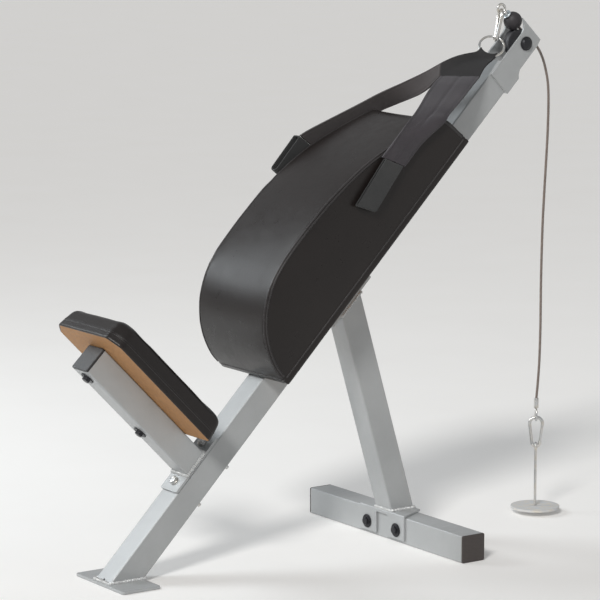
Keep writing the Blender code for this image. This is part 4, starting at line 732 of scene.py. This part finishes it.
def inflate(name, mesh, values, held, keepIn):
    piece = newPiece(name, mesh)
    remesh = piece.modifiers.new("evenFaces", "REMESH")
    remesh.mode = "VOXEL"
    remesh.voxel_size = values["voxel"]
    applyAll(piece)
    start = [vert.co.copy() for vert in piece.data.vertices]
    weights = [held(point) for point in start]
    pinned = piece.vertex_groups.new(name="heldEdges")
    for index, weight in enumerate(weights):
        if weight > 0:
            pinned.add([index], weight, "REPLACE")
    cloth = piece.modifiers.new("foamPressure", "CLOTH")
    cloth.settings.quality = vinylCloth["quality"]
    cloth.settings.mass = vinylCloth["mass"]
    cloth.settings.tension_stiffness = cloth.settings.compression_stiffness = values["stiffness"]
    cloth.settings.shear_stiffness = values["stiffness"] / 2
    cloth.settings.bending_stiffness = values["bending"]
    cloth.settings.use_pressure = True
    cloth.settings.uniform_pressure_force = values["pressure"]
    cloth.settings.effector_weights.gravity = 0
    cloth.settings.vertex_group_mass = "heldEdges"
    cloth.point_cache.frame_start = 1
    cloth.point_cache.frame_end = values["steps"]
    for step in range(values["steps"]):
        scene.frame_set(step + 1)
    applyAll(piece)
    scene.frame_set(1)
    piece.vertex_groups.clear()
    moved = [vert.co - first for vert, first in zip(piece.data.vertices, start)]
    bm = bmesh.new()
    bm.from_mesh(piece.data)
    bm.normal_update()
    cap = values["cap"]
    for vert, first, move, weight in zip(bm.verts, start, moved, weights):
        if move.length > 1e-9:
            move = move.normalized() * cap * math.tanh(move.length / cap)
        vert.co = first + move
    loose = [vert for vert, weight in zip(bm.verts, weights) if weight < vinylCloth["looseBelow"]]
    axes = {"use_axis_x": True, "use_axis_y": True, "use_axis_z": True}
    for turn in range(values["smooth"]):
        bmesh.ops.smooth_vert(bm, verts=loose, factor=0.5, **axes)
    for vert in bm.verts:
        vert.co = keepIn(vert.co)
    bm.to_mesh(piece.data)
    bm.free()
    finer = piece.modifiers.new("finer", "SUBSURF")
    finer.levels = finer.render_levels = 1
    applyAll(piece)
    furthest = round(max(move.length for move in moved) * 1000, 1)
    print(name, "inflated:", len(piece.data.vertices), "points, furthest move", furthest, "mm")
    return piece


def raised(outline, height, isRim, width, segments, name):
    # a closed block from its outline, with its upper or outer rims rounded
    bm = bmesh.new()
    face = bm.faces.new([bm.verts.new(point) for point in outline])
    grown = bmesh.ops.extrude_face_region(bm, geom=[face])["geom"]
    grownVerts = [item for item in grown if isinstance(item, bmesh.types.BMVert)]
    bmesh.ops.translate(bm, verts=grownVerts, vec=height)
    bmesh.ops.recalc_face_normals(bm, faces=bm.faces[:])
    rims = [edge for edge in bm.edges if isRim(*(vert.co for vert in edge.verts))]
    bmesh.ops.bevel(bm, geom=rims, offset=width, offset_type="OFFSET", affect="EDGES", segments=segments,
                    profile=0.5, clamp_overlap=True, material=-1)
    return toMesh(bm, name, True)


def hollowForBoard(piece, inside, depth, low, high):
    # the back of the cushion is hollowed for the board, just inside the board's edge
    for vert in piece.data.vertices:
        if low < vert.co.z < high and inside(vert.co):
            vert.co.z += depth


def surfaceOf(piece):
    bm = bmesh.new()
    bm.from_mesh(piece.data)
    tree = BVHTree.FromBMesh(bm)
    bm.free()
    return tree


def onSurface(tree, points, lift=0.0):
    places, normals = [], []
    for point in points:
        place, normal, face, distance = tree.find_nearest(point)
        places.append(place + normal * lift)
        normals.append(normal)
    for turn in range(2):
        inner = [(before + at * 2 + after) / 4 for before, at, after in zip(places, places[1:], places[2:])]
        places = [places[0]] + inner + [places[-1]]
    return places, normals


def seamTube(tree, line, lift, radius, name="seam", closed=False):
    return tubeMesh(name, onSurface(tree, line, lift)[0], radius, closed=closed)


def finishCushion(piece, place, node, seams, stitches):
    for mesh in (piece.data, seams, stitches):
        mesh.transform(place)
    dress(piece, "vinyl", "frame", "vinyl", None, [node])
    # the seams use the lighter seam vinyl, a painted highlight along them
    addPiece(seams.name, seams, "seamVinyl", "frame", "vinyl", 60)
    addPiece(stitches.name, stitches, "thread", "frame", "vinyl", 40)


backPad = {
    "start": 0.584, "length": 0.719, "depth": 0.212, "width": 0.270, "rear": 0.0003, "board": 0.017,
    "rim": 0.004, "edgeRound": 0.0075, "bulge": 0.0062, "fill": 0.85,
    "voxel": 0.006, "pressure": 5.0, "stiffness": 12.0, "bending": 0.6, "steps": 20,
    "cap": 0.0065, "smooth": 5,
    "outline": [(0.0000, 0.000), (0.0014, 0.203), (0.0195, 0.406), (0.0584, 0.623), (0.1210, 0.811),
                (0.2086, 0.940), (0.3310, 0.985), (0.4896, 0.976), (0.6259, 0.915), (0.7232, 0.838),
                (0.8317, 0.700), (0.9600, 0.505), (0.9850, 0.440), (0.9960, 0.250), (1.0000, 0.000)],
    "seamRadius": 0.0025, "seamFront": 0.0030, "seamSide": 0.0056, "seamSink": 0.2, "stitchAside": 0.0032,
    "bandRadius": 0.0021, "bandSink": 0.0003, "bandAbove": 0.0008,
    "heldNear": 0.014, "heldFade": 0.008, "heldAbove": 0.010,
    "tight": 0.0052, "tightBelow": 0.012, "flatBelow": 0.0045, "hollowInset": 0.004, "slack": 0.001,
}
padHalf = backPad["width"] / 2
padStart, padTop = backPad["start"], backPad["start"] + backPad["length"]
padOutline = [(padStart + u * backPad["length"], 0, v * backPad["depth"]) for u, v in backPad["outline"]]
padOutline = [Vector((point.x, 0, max(point.z, backPad["rear"]))) for point in smoothPath(padOutline, 160)]
padOutlineCoarse = padOutline[::3]
padMiddle = Vector((padStart + 0.48 * backPad["length"], 0, 0.42 * backPad["depth"]))


def padRim(first, second):
    return abs(first.y - second.y) < 1e-6 and max(first.z, second.z) > backPad["board"]


def padHeld(point):
    # 1 where the vinyl is held: round the board, and along the seams at both sides of the front
    side = abs(abs(point.y) - padHalf)
    above, near, seam = backPad["heldAbove"], backPad["heldNear"], 0.0
    nearBoard = min(max((backPad["board"] + above - point.z) / above, 0.0), 1.0)
    if abs(point.y) > padHalf - near:
        edge = min((Vector((point.x, 0, point.z)) - rim).length for rim in padOutlineCoarse)
        if edge < near and side < near:
            seam = min(max((near - max(edge, side)) / backPad["heldFade"], 0.0), 1.0)
    return max(nearBoard, seam)


def padKeepIn(point):
    widest, lowest = padHalf + backPad["bulge"], backPad["rear"] + vinylCloth["skin"]
    point.y = max(min(point.y, widest), -widest)
    point.z = max(point.z, lowest)
    # the vinyl is pulled tight round the board, so the rear rim is crisp
    if point.z < backPad["tightBelow"]:
        if abs(point.y) > padHalf - backPad["tight"]:
            point.y = math.copysign(padHalf, point.y)
        if point.x < padStart + backPad["tight"]:
            point.x = padStart
        if point.x > padTop - backPad["tight"]:
            point.x = padTop
        if point.z < backPad["flatBelow"]:
            point.z = lowest
    return point


def insidePadBoard(point):
    inset = backPad["rim"] + backPad["hollowInset"]
    return padStart + inset < point.x < padTop - inset and abs(point.y) < padHalf - inset


def towardsMiddle(point):
    return (Vector((padMiddle.x, point.y, padMiddle.z)) - point).normalized()


padNearSide = [(point.x, -padHalf + 0.0005, point.z) for point in padOutline]
padBlock = raised(padNearSide, (0, backPad["width"] - 0.001, 0), padRim, backPad["edgeRound"], 3,
                  "backPadCushion")
padPiece = inflate("backPadCushion", padBlock, backPad, padHeld, padKeepIn)
hollowForBoard(padPiece, insidePadBoard, backPad["board"] + backPad["slack"], -0.001, 0.0035)
padSurface = surfaceOf(padPiece)
padSeams, padStitchRows = [], []
bandLevel, seamRadius = backPad["board"] + backPad["bandAbove"], backPad["seamRadius"]
for side in (-1, 1):
    frontLine = [Vector((point.x, side * (padHalf - backPad["seamFront"]), point.z)) for point in padOutline
                 if point.z > backPad["board"] + 0.001]
    sideLine = [Vector((point.x, side * (padHalf + 0.004), point.z)) for point in frontLine]
    sideLine = [point + towardsMiddle(point) * backPad["seamSide"] for point in sideLine]
    for line in (frontLine, sideLine):
        padSeams.append(seamTube(padSurface, line, -seamRadius * backPad["seamSink"], seamRadius))
    aside = backPad["stitchAside"]
    for line in ([point - Vector((0, side * aside, 0)) for point in frontLine],
                 [point + towardsMiddle(point) * aside for point in sideLine]):
        padStitchRows.append(onSurface(padSurface, line, 0.0001))
    band = [Vector((padStart + backPad["length"] * index / 90, side * padHalf, bandLevel))
            for index in range(1, 90)]
    padSeams.append(seamTube(padSurface, band, -backPad["bandSink"], backPad["bandRadius"]))
for end in (padStart, padTop):
    band = [Vector((end, -padHalf + backPad["width"] * index / 40, bandLevel)) for index in range(41)]
    padSeams.append(seamTube(padSurface, band, -backPad["bandSink"], backPad["bandRadius"]))
finishCushion(padPiece, beamPlace, "back_pad_cushion", joined("backPadSeams", padSeams),
              stitchMesh("backPadStitching", padStitchRows))
print("back pad done")

# The seat lies along its own tube, upside down in the seat's place: its top is at the lowest z
seatPad = {
    "start": 0.072, "length": 0.358, "width": 0.264, "cornerCut": 0.030, "cornerRound": 0.018,
    "under": 0.0638, "board": 0.0172, "height": 0.0412, "rim": 0.004, "topRound": 0.018, "bulge": 0.0017,
    "fill": 0.8, "voxel": 0.0048, "pressure": 8.0, "stiffness": 12.0, "bending": 2.0, "steps": 20,
    "cap": 0.0042, "smooth": 8,
    "seamRadius": 0.0009, "seamSink": 0.0005, "stitchAbove": 0.0042, "pull": 0.0004, "pullReach": 0.0026,
    "heldAbove": 0.006, "tight": 0.0042, "tightBelow": 0.010, "flatBelow": 0.0036,
    "hollowInset": 0.004, "hollowCorner": 0.014, "slack": 0.001,
}
seatEnd = seatPad["start"] + seatPad["length"]
seatMiddle = seatPad["start"] + seatPad["length"] / 2
seatHalf = seatPad["width"] / 2
boardTop = seatPad["under"] + seatPad["board"]


def seatOutline(inset, steps=6):
    radius, side = seatPad["cornerRound"], seatHalf - inset
    rear, front = seatPad["start"] + inset, seatEnd - inset
    cut = seatPad["cornerCut"] - 0.4 * inset
    corners = [Vector(corner) for corner in ((rear, -side), (front - cut, -side), (front, -side + cut),
                                             (front, side - cut), (front - cut, side), (rear, side))]
    points = []
    for index, corner in enumerate(corners):
        before = (corners[index - 1] - corner).normalized()
        after = (corners[(index + 1) % len(corners)] - corner).normalized()
        halfAngle = before.angle(after) / 2
        centre = corner + (before + after).normalized() * radius / math.sin(halfAngle)
        first = corner + before * radius / math.tan(halfAngle) - centre
        last = corner + after * radius / math.tan(halfAngle) - centre
        wide = first.angle(last)
        for step in range(steps + 1):
            mix = step / steps
            arm = first * math.sin((1 - mix) * wide) + last * math.sin(mix * wide)
            points.append(centre + arm / math.sin(wide))
    return points


def seatTopRim(first, second):
    return max(first.z, second.z) < -boardTop - 0.01


def seatHeld(point):
    return min(max((point.z + boardTop + seatPad["heldAbove"]) / seatPad["heldAbove"], 0.0), 1.0)


def nearestOn(loop, point):
    best, reach = None, 1.0
    for index, first in enumerate(loop):
        span = loop[(index + 1) % len(loop)] - first
        share = min(max((point - first).dot(span) / span.length_squared, 0.0), 1.0)
        place = first + span * share
        if (point - place).length < reach:
            best, reach = place, (point - place).length
    return best, reach


seatRim = seatOutline(0.0)


def softLimit(value, start, reach):
    beyond = abs(value) - start
    return value if beyond <= 0 else math.copysign(start + reach * math.tanh(beyond / reach), value)


def seatKeepIn(point):
    under, skin = seatPad["under"], vinylCloth["skin"]
    if -point.z < under + seatPad["tightBelow"]:
        place, reach = nearestOn(seatRim, point.to_2d())
        if reach < seatPad["tight"]:
            point.x, point.y = place
        if -point.z < under + seatPad["flatBelow"]:
            point.z = -under - skin
    point.z = min(point.z, -under - skin)
    point.y = softLimit(point.y, seatHalf - 0.001, seatPad["bulge"])
    point.x = seatMiddle + softLimit(point.x - seatMiddle, seatPad["length"] / 2 - 0.001, seatPad["bulge"])
    return point


def insideSeatBoard(point):
    inset = seatPad["rim"] + seatPad["hollowInset"]
    fromCorner = (seatEnd - point.x) + (seatHalf - abs(point.y))
    return (seatPad["start"] + inset < point.x < seatEnd - inset and abs(point.y) < seatHalf - inset
            and fromCorner > seatPad["cornerCut"] + seatPad["hollowCorner"])


seatBlock = raised([(point.x, point.y, -seatPad["under"]) for point in seatOutline(0.001)],
                   (0, 0, -seatPad["board"] - seatPad["height"] + 0.001), seatTopRim, seatPad["topRound"], 4,
                   "seatCushion")
seatPiece = inflate("seatCushionPad", seatBlock, seatPad, seatHeld, seatKeepIn)
hollowForBoard(seatPiece, insideSeatBoard, -seatPad["board"] - seatPad["slack"],
               -seatPad["under"] - 0.0035, -seatPad["under"] + 0.001)
# the seam draws the vinyl in a little where it meets the board's top
for vert in seatPiece.data.vertices:
    x, y, level = vert.co.x, vert.co.y, -vert.co.z - boardTop
    atEdge = abs(y) > seatHalf - 0.012 or x > seatEnd - 0.034 or x < seatPad["start"] + 0.012
    if abs(level) < 0.008 and atEdge:
        pull = seatPad["pull"] * math.exp(-(level / seatPad["pullReach"]) ** 2)
        vert.co -= Vector((x - seatMiddle, y, 0)).normalized() * pull
seatSurface = surfaceOf(seatPiece)
seamLine = [Vector((point.x, point.y, -boardTop - 0.0004)) for point in seatOutline(-0.002)]
seamLine = smoothPath(seamLine, 320, closed=True)[:-1]
stitchLine = [point - Vector((0, 0, seatPad["stitchAbove"])) for point in seamLine]
piping = seamTube(seatSurface, seamLine, -seatPad["seamSink"], seatPad["seamRadius"], "seatSeamPiping", True)
finishCushion(seatPiece, seatPlace, "seat_cushion", piping,
              stitchMesh("seatStitching", [onSurface(seatSurface, stitchLine, 0.0001)]))
print("seat done")

# Harness: the yoke over the ring, two padded straps round the pad and a hand loop under each
harness = {
    "yaw": math.radians(-34.546), "ringCentre": (1.031232, -0.008657, 1.14491),
    "ringNormal": (-0.422309, -0.613316, 0.667457), "ringRadius": 0.02925, "ringWire": 0.00275,
    "wrapAngle": math.radians(245), "halfArc": math.radians(45), "sleeveGap": 0.0006, "tail": 0.012,
    "yokeThick": 0.0056, "yokeColumns": 13, "yokeRows": 7, "yokeWidth": 0.080, "sag": 0.006,
    "farShare": 0.375, "ply": 0.0025, "strapThick": 0.007, "padClear": 0.0012, "weaveSkin": 0.0001,
    "padSwell": 0.006, "foldRound": 0.0012, "foldMeet": 0.0002, "foldReach": 0.0022,
    # how deep a strap's padding thins at its bound edges and ends, how far in and how wide
    "edgeDent": (0.0010, 0.0045, 0.0018), "endDent": (0.0009, 0.006, 0.0016),
    "corner": (1.414, 0.0, 0.086), "farEdge": (1.448, 0.020, 0.094), "nearEdge": (1.462, -0.060, 0.036),
}
ply = harness["ply"]
besidePad = padHalf + harness["padSwell"] + harness["padClear"]
outlineX = [point.x for point in padOutline]
outlineZ = [point.z for point in padOutline]


def clearOfPad(along, side, front):
    face = float(np.interp(min(along, padTop - 0.001), outlineX, outlineZ))
    face = face + harness["padSwell"] + harness["padClear"]
    if along > padTop + harness["padClear"] or abs(side) >= besidePad or front >= face:
        return along, side, front
    if besidePad - abs(side) < face - front:
        return along, math.copysign(besidePad, side), front
    return along, side, face


def sheetFrom(name, rows, thickness, width, length, edgeRound, levels=2):
    # a strip of webbing from rows of middle points, smoothed, thickened and with its UV in metres
    count, columns = len(rows), len(rows[0])
    bm = bmesh.new()
    bmesh.ops.create_grid(bm, x_segments=columns - 1, y_segments=count - 1, size=1.0)
    layers = bm.verts.layers.float
    across, along, sharp = layers.new("across"), layers.new("along"), layers.new("crease_vert")
    for vert in bm.verts:
        column = round((vert.co.x + 1) / 2 * (columns - 1))
        row = round((vert.co.y + 1) / 2 * (count - 1))
        vert[across] = column / (columns - 1)
        vert[along] = row / (count - 1)
        vert.co = rows[row][column]
        if len(vert.link_edges) == 2:
            vert[sharp] = 1.0
    piece = newPiece(name, toMesh(bm, name))
    smoother = piece.modifiers.new("weaveSmooth", "SUBSURF")
    smoother.levels = smoother.render_levels = levels
    wall = piece.modifiers.new("webbingThickness", "SOLIDIFY")
    wall.thickness = thickness
    wall.offset = 0.0
    wall.use_even_offset = True
    edge = piece.modifiers.new("softEdge", "BEVEL")
    edge.width = edgeRound
    edge.segments = 3
    edge.limit_method = "ANGLE"
    edge.angle_limit = math.radians(50)
    applyAll(piece)
    mesh = piece.data
    shares = np.zeros((2, len(mesh.vertices)))
    for key, values in zip(("across", "along"), shares):
        mesh.attributes[key].data.foreach_get("value", values)
    uv = mesh.uv_layers.new(name="UVMap")
    for loop in mesh.loops:
        uv.data[loop.index].uv = shares[:, loop.vertex_index] * (width, length)
    return piece, shares


def rowLength(rows):
    return runLengths([row[len(row) // 2] for row in rows])[-1]


ringRight = Vector((math.cos(harness["yaw"]), math.sin(harness["yaw"]), 0))
ringNormal = Vector(harness["ringNormal"]).normalized()
ringUp = ringNormal.cross(ringRight)
ringCentre = Vector(harness["ringCentre"])
wrapOut = ringRight * math.cos(harness["wrapAngle"]) + ringUp * math.sin(harness["wrapAngle"])
wrapSide = -ringRight * math.sin(harness["wrapAngle"]) + ringUp * math.cos(harness["wrapAngle"])
cornerPoint, yokeFarEdge, yokeNearEdge = (Vector(harness[key]) for key in ("corner", "farEdge", "nearEdge"))
yokeColumns = range(harness["yokeColumns"])
lastColumn, lastRow = harness["yokeColumns"] - 1, harness["yokeRows"] - 1
overRing = harness["ringWire"] + harness["sleeveGap"] + ply / 2
runs, noses = [], []
for column in yokeColumns:
    share = column / lastColumn
    offset = -harness["halfArc"] + 2 * harness["halfArc"] * share
    onArc = ringCentre + (wrapOut * math.cos(offset) + wrapSide * math.sin(offset)) * harness["ringRadius"]
    longHalf = harness["ringWire"] / math.cos(offset) + harness["sleeveGap"] + ply / 2
    farShare = harness["farShare"]
    if share <= farShare:
        target = onBeam(*yokeFarEdge.lerp(cornerPoint, share / farShare))
    else:
        target = onBeam(*cornerPoint.lerp(yokeNearEdge, (share - farShare) / (1 - farShare)))
    tail = onArc + (wrapOut + (target - onArc).normalized()).normalized() * harness["tail"]
    mixes = [step / lastRow for step in range(1, lastRow)]
    runs.append([tail] + [tail.lerp(target, mix) + frontOfBeam * harness["sag"] * math.sin(math.pi * mix)
                          for mix in mixes] + [target])
    noses.append([onArc + wrapOut * math.cos(turn) * longHalf + ringNormal * math.sin(turn) * overRing
                  for turn in (math.radians(80 + 200 * step / 12) for step in range(13))])


def yokeLift(row, column):
    # square to the yoke, on the side that the ring faces; at the ring it is the ring's own normal
    besideRun = runs[min(column + 1, lastColumn)][row] - runs[max(column - 1, 0)][row]
    ahead = runs[column][min(row + 1, lastRow)] - runs[column][max(row - 1, 0)]
    lift = ahead.cross(besideRun).normalized()
    return ringNormal if row == 0 else -lift if lift.dot(ringNormal) < 0 else lift


def yokeFace(order, out):
    return [[runs[column][row] + yokeLift(row, column) * out for column in yokeColumns] for row in order]


plyOut = harness["yokeThick"] / 2 - ply / 2 - harness["weaveSkin"]
yokeRows = yokeFace(range(lastRow, -1, -1), plyOut)
yokeRows += [[noses[column][step] for column in yokeColumns] for step in range(13)]
yokeRows += yokeFace(range(lastRow + 1), -plyOut)
yokePiece = sheetFrom("harnessYokeWebbing", yokeRows, ply - harness["weaveSkin"], harness["yokeWidth"],
                      rowLength(yokeRows), 0.0007)[0]
dress(yokePiece, "yoke", "harness", "webbing", 50, ["harness_yoke"])
print("yoke done")


def strapRows(edges, rows, columns):
    first, second = (smoothPath([edge[side] for edge in edges], rows) for side in (0, 1))
    grid = [[Vector(clearOfPad(*one.lerp(two, column / (columns - 1)))) for column in range(columns)]
            for one, two in zip(first, second)]
    heart = Vector((padStart + 0.55 * backPad["length"], 0, 0))
    middle, outward = [], []
    for i, row in enumerate(grid):
        middle.append([])
        outward.append([])
        # the strap leaves the yoke in its plane, then rises to lie on the pad
        rise = min(i / 3, 1.0)
        for j, point in enumerate(row):
            downward = grid[min(i + 1, rows - 1)][j] - grid[max(i - 1, 0)][j]
            besideRow = row[min(j + 1, columns - 1)] - row[max(j - 1, 0)]
            normal = downward.cross(besideRow).normalized()
            if normal.dot(point - heart) < 0:
                normal = -normal
            middle[-1].append(onBeam(*(point + normal * harness["strapThick"] / 2 * rise)))
            outward[-1].append(beamTurn @ normal)
    return middle, outward


def beyondSeam(point, towards, gap=-0.0012):
    return point + (towards - point).normalized() * gap


def fromPadTop(above, side, front):
    return Vector((padTop + above, side, front))


# Both edges of each strap, from the yoke's seam down to the hand loop
nearSecond = (fromPadTop(0.042, -0.040, 0.111), fromPadTop(0.089, -0.095, 0.058))
nearEdges = [
    (beyondSeam(cornerPoint, nearSecond[0]), beyondSeam(yokeNearEdge, nearSecond[1])), nearSecond,
    (fromPadTop(-0.031, -0.090, 0.136), fromPadTop(0.022, -0.130, 0.083)),
    (fromPadTop(-0.098, -0.125, 0.160), fromPadTop(-0.038, -besidePad, 0.096)),
    (fromPadTop(-0.153, -besidePad, 0.171), fromPadTop(-0.098, -besidePad, 0.108)),
    (fromPadTop(-0.193, -besidePad, 0.172), fromPadTop(-0.167, -besidePad, 0.108)),
]
farSecond = (fromPadTop(0.105, 0.060, 0.098), fromPadTop(0.067, 0.052, 0.070))
farEdges = [
    (beyondSeam(yokeFarEdge, farSecond[0]), beyondSeam(cornerPoint, farSecond[1])), farSecond,
    (fromPadTop(0.047, 0.115, 0.106), fromPadTop(0.027, 0.125, 0.064)),
    (fromPadTop(-0.002, besidePad, 0.119), fromPadTop(0.001, besidePad, 0.072)),
    (fromPadTop(-0.148, besidePad, 0.189), fromPadTop(-0.145, besidePad, 0.140)),
    (fromPadTop(-0.191, besidePad, 0.207), fromPadTop(-0.185, besidePad, 0.158)),
]
straps = {
    "nearStrapWebbing": {"edges": nearEdges, "rows": 26, "columns": 7, "width": 0.066, "node": "near_strap",
                         "finish": "strap", "fold": 0.52, "foldDepth": 0.0016, "seams": (0.07, 0.93)},
    "farStrapWebbing": {"edges": farEdges, "rows": 28, "columns": 6, "width": 0.048, "node": "far_strap",
                        "finish": "farStrap", "fold": 0.5, "foldDepth": 0.0, "seams": (0.09, 0.91)},
}


def dent(distance, deep, inset, reach):
    return deep * math.exp(-((distance - inset) / reach) ** 2)


def strapSeam(surface, rows, outward, share):
    # a stitch line down the strap at a share of its width
    place = share * (len(rows[0]) - 1)
    low = min(int(place), len(rows[0]) - 2)
    points = [row[low].lerp(row[low + 1], place - low) + out[low] * harness["strapThick"] / 2
              for row, out in zip(rows, outward)]
    return onSurface(surface, smoothPath(points, 160))


strapStitchRows = []
for name, facts in straps.items():
    rows, outward = strapRows(facts["edges"], facts["rows"], facts["columns"])
    width, length = facts["width"], rowLength(rows)
    piece, shares = sheetFrom(name, rows, harness["strapThick"] - 0.0004, width, length, 0.0024)
    # the padding thins towards the bound edges, and a lengthwise fold line runs down the near strap
    piece.data.update()
    normals = [vert.normal.copy() for vert in piece.data.vertices]
    for vert, normal, a, b in zip(piece.data.vertices, normals, *shares):
        thin = dent(min(a, 1 - a) * width, *harness["edgeDent"])
        thin += dent((a - facts["fold"]) * width, facts["foldDepth"], 0.0, harness["foldReach"])
        thin += dent(min(b, 1 - b) * length, *harness["endDent"])
        vert.co -= normal * thin
    dress(piece, facts["finish"], "harness", "webbing", 70, [facts["node"]])
    strapStitchRows += [strapSeam(surfaceOf(piece), rows, outward, share) for share in facts["seams"]]
print("straps done")
strapStitches = stitchMesh("strapStitching", strapStitchRows, 0.0028, 0.0014)
addPiece("strapStitching", strapStitches, "thread", "harness", "webbing", 40)


def underStrap(end, inset, width, gap):
    acrossEnd = (end[1] - end[0]).normalized()
    below = Vector((acrossEnd.z, 0, -acrossEnd.x))
    first = end[0] + acrossEnd * inset + below * gap
    return first, first + acrossEnd * width


# "top" is the strap's end, the inset from its edge, the loop's width and the gap below the strap
loops = {
    "nearHandLoop": {"top": (nearEdges[-1], 0.0088, 0.0519, 0.00065), "gap": 0.006, "side": -1,
                     "ends": (fromPadTop(-0.319, -besidePad, 0.150), fromPadTop(-0.295, -besidePad, 0.101)),
                     "node": "near_handle_loop", "strap": "near_strap"},
    "farHandLoop": {"top": (farEdges[-1], 0.0002, 0.0486, 0.00035), "gap": 0.020, "side": 1,
                    "ends": (fromPadTop(-0.295, besidePad, 0.203), fromPadTop(-0.291, besidePad, 0.154)),
                    "node": "far_handle_loop", "strap": "far_strap"},
}
for name, facts in loops.items():
    topOne, topTwo = underStrap(*facts["top"])
    endOne, endTwo = facts["ends"]
    plies = facts["gap"] + 2 * ply
    centre, corner, meet = plies / 2, ply / 2 + harness["foldRound"], harness["foldMeet"]
    length = (endOne - topOne).length
    bend = length - centre
    # the fold seen from the side, as how far down and how far out it runs
    path = [(ply / 2, centre - meet), (ply / 2, corner), (corner, ply / 2)]
    path += [(corner + (bend - corner) * step / 12, ply / 2) for step in range(1, 13)]
    path += [(bend + (centre - ply / 2) * math.cos(turn), centre + (centre - ply / 2) * math.sin(turn))
             for turn in (-math.pi / 2 + math.pi * step / 12 for step in range(1, 12))]
    path += [(bend - (bend - corner) * step / 12, plies - ply / 2) for step in range(13)]
    path += [(ply / 2, plies - corner), (ply / 2, centre + meet)]
    rows = []
    for run, out in path:
        one, two = topOne.lerp(endOne, run / length), topTwo.lerp(endTwo, run / length)
        outwards = Vector((0, facts["side"] * out, 0))
        rows.append([onBeam(*(one.lerp(two, column / 4) + outwards)) for column in range(5)])
    loopWidth, loopLength = (topTwo - topOne).length, rowLength(rows)
    piece = sheetFrom(name, rows, ply - harness["weaveSkin"], loopWidth, loopLength, 0.0007, levels=1)[0]
    dress(piece, "loop", "harness", "webbing", 50, [facts["node"]])
    print(name, "webbing", round(loopWidth, 4), "by", round(loopLength, 4))

# Floor and light: a pale floor, even sky light, one soft sun and two softboxes
stage = {
    "floorSize": 160.0, "floorColour": (0.84, 0.83, 0.815), "floorDark": (0.83, 0.82, 0.805),
    "floorLight": (0.85, 0.84, 0.825), "glow": 0.16, "glowColour": (1.0, 0.99, 0.975, 1.0),
    "sky": 0.20, "skySeen": 0.22, "skyColour": (0.97, 0.985, 1.0, 1.0),
    "sunStrength": 1.9, "sunTurn": (52, 0, -55), "sunSoft": 12.0, "sunColour": (1.0, 0.99, 0.97),
    # name: where it stands, what it is aimed at, its size, power and colour
    "softboxes": {
        "farLeftSoftbox": ((-1.75, 2.45, 2.65), (0.7, 0.0, 0.75), (1.35, 2.0), 77.0, (0.90, 0.96, 1.0)),
        "nearRightFill": ((3.2, -2.6, 2.2), (0.5, 0.0, 0.6), (3.0, 3.0), 6.0, (1.0, 1.0, 1.0)),
    },
}


def seenRays(tree, strength):
    # the strength for what the camera sees directly, in a reflection or through glass, else 0
    rays = tree.nodes.new("ShaderNodeLightPath").outputs
    seen = maths(tree, "ADD", rays["Is Camera Ray"], rays["Is Glossy Ray"])
    seen = maths(tree, "MINIMUM", maths(tree, "ADD", seen, rays["Is Transmission Ray"]), 1.0)
    return maths(tree, "MULTIPLY", seen, strength)


def newLight(name, kind, power, colour):
    lamp = newPiece(name, bpy.data.lights.new(name, kind))
    lamp.data.energy = power
    lamp.data.color = colour
    return lamp


bm = bmesh.new()
bmesh.ops.create_grid(bm, x_segments=8, y_segments=8, size=stage["floorSize"] / 2)
floor = newPiece("paleFloor", toMesh(bm, "paleFloor"))
floor.location = (0, 0, -0.0005)
made, tree, shader = startFinish("paleFloorFinish", stage["floorColour"], 0.75)
floorCloud = grainNoise(tree, mapped(tree), 3.0, 3.0)
setInputs(tree, shader, {
    "Base Color": ramped(tree, floorCloud, (0.3, stage["floorDark"]), (0.7, stage["floorLight"])),
    "Emission Strength": seenRays(tree, stage["glow"]), "Emission Color": stage["glowColour"],
})
floor.data.materials.append(made)
scene.world = bpy.data.worlds.new("evenSky")
scene.world.use_nodes = True
tree = scene.world.node_tree
skyStrength = maths(tree, "ADD", seenRays(tree, stage["skySeen"]), stage["sky"])
setInputs(tree, tree.nodes["Background"], {"Color": stage["skyColour"], "Strength": skyStrength})
sun = newLight("softSun", "SUN", stage["sunStrength"], stage["sunColour"])
sun.data.angle = math.radians(stage["sunSoft"])
sun.rotation_euler = [math.radians(angle) for angle in stage["sunTurn"]]
for name, (place, target, size, power, colour) in stage["softboxes"].items():
    lamp = newLight(name, "AREA", power, colour)
    lamp.data.shape = "RECTANGLE"
    lamp.data.size, lamp.data.size_y = size
    lamp.location = place
    lamp.rotation_euler = (Vector(target) - Vector(place)).to_track_quat("-Z", "Y").to_euler()
print("floor and lights placed")
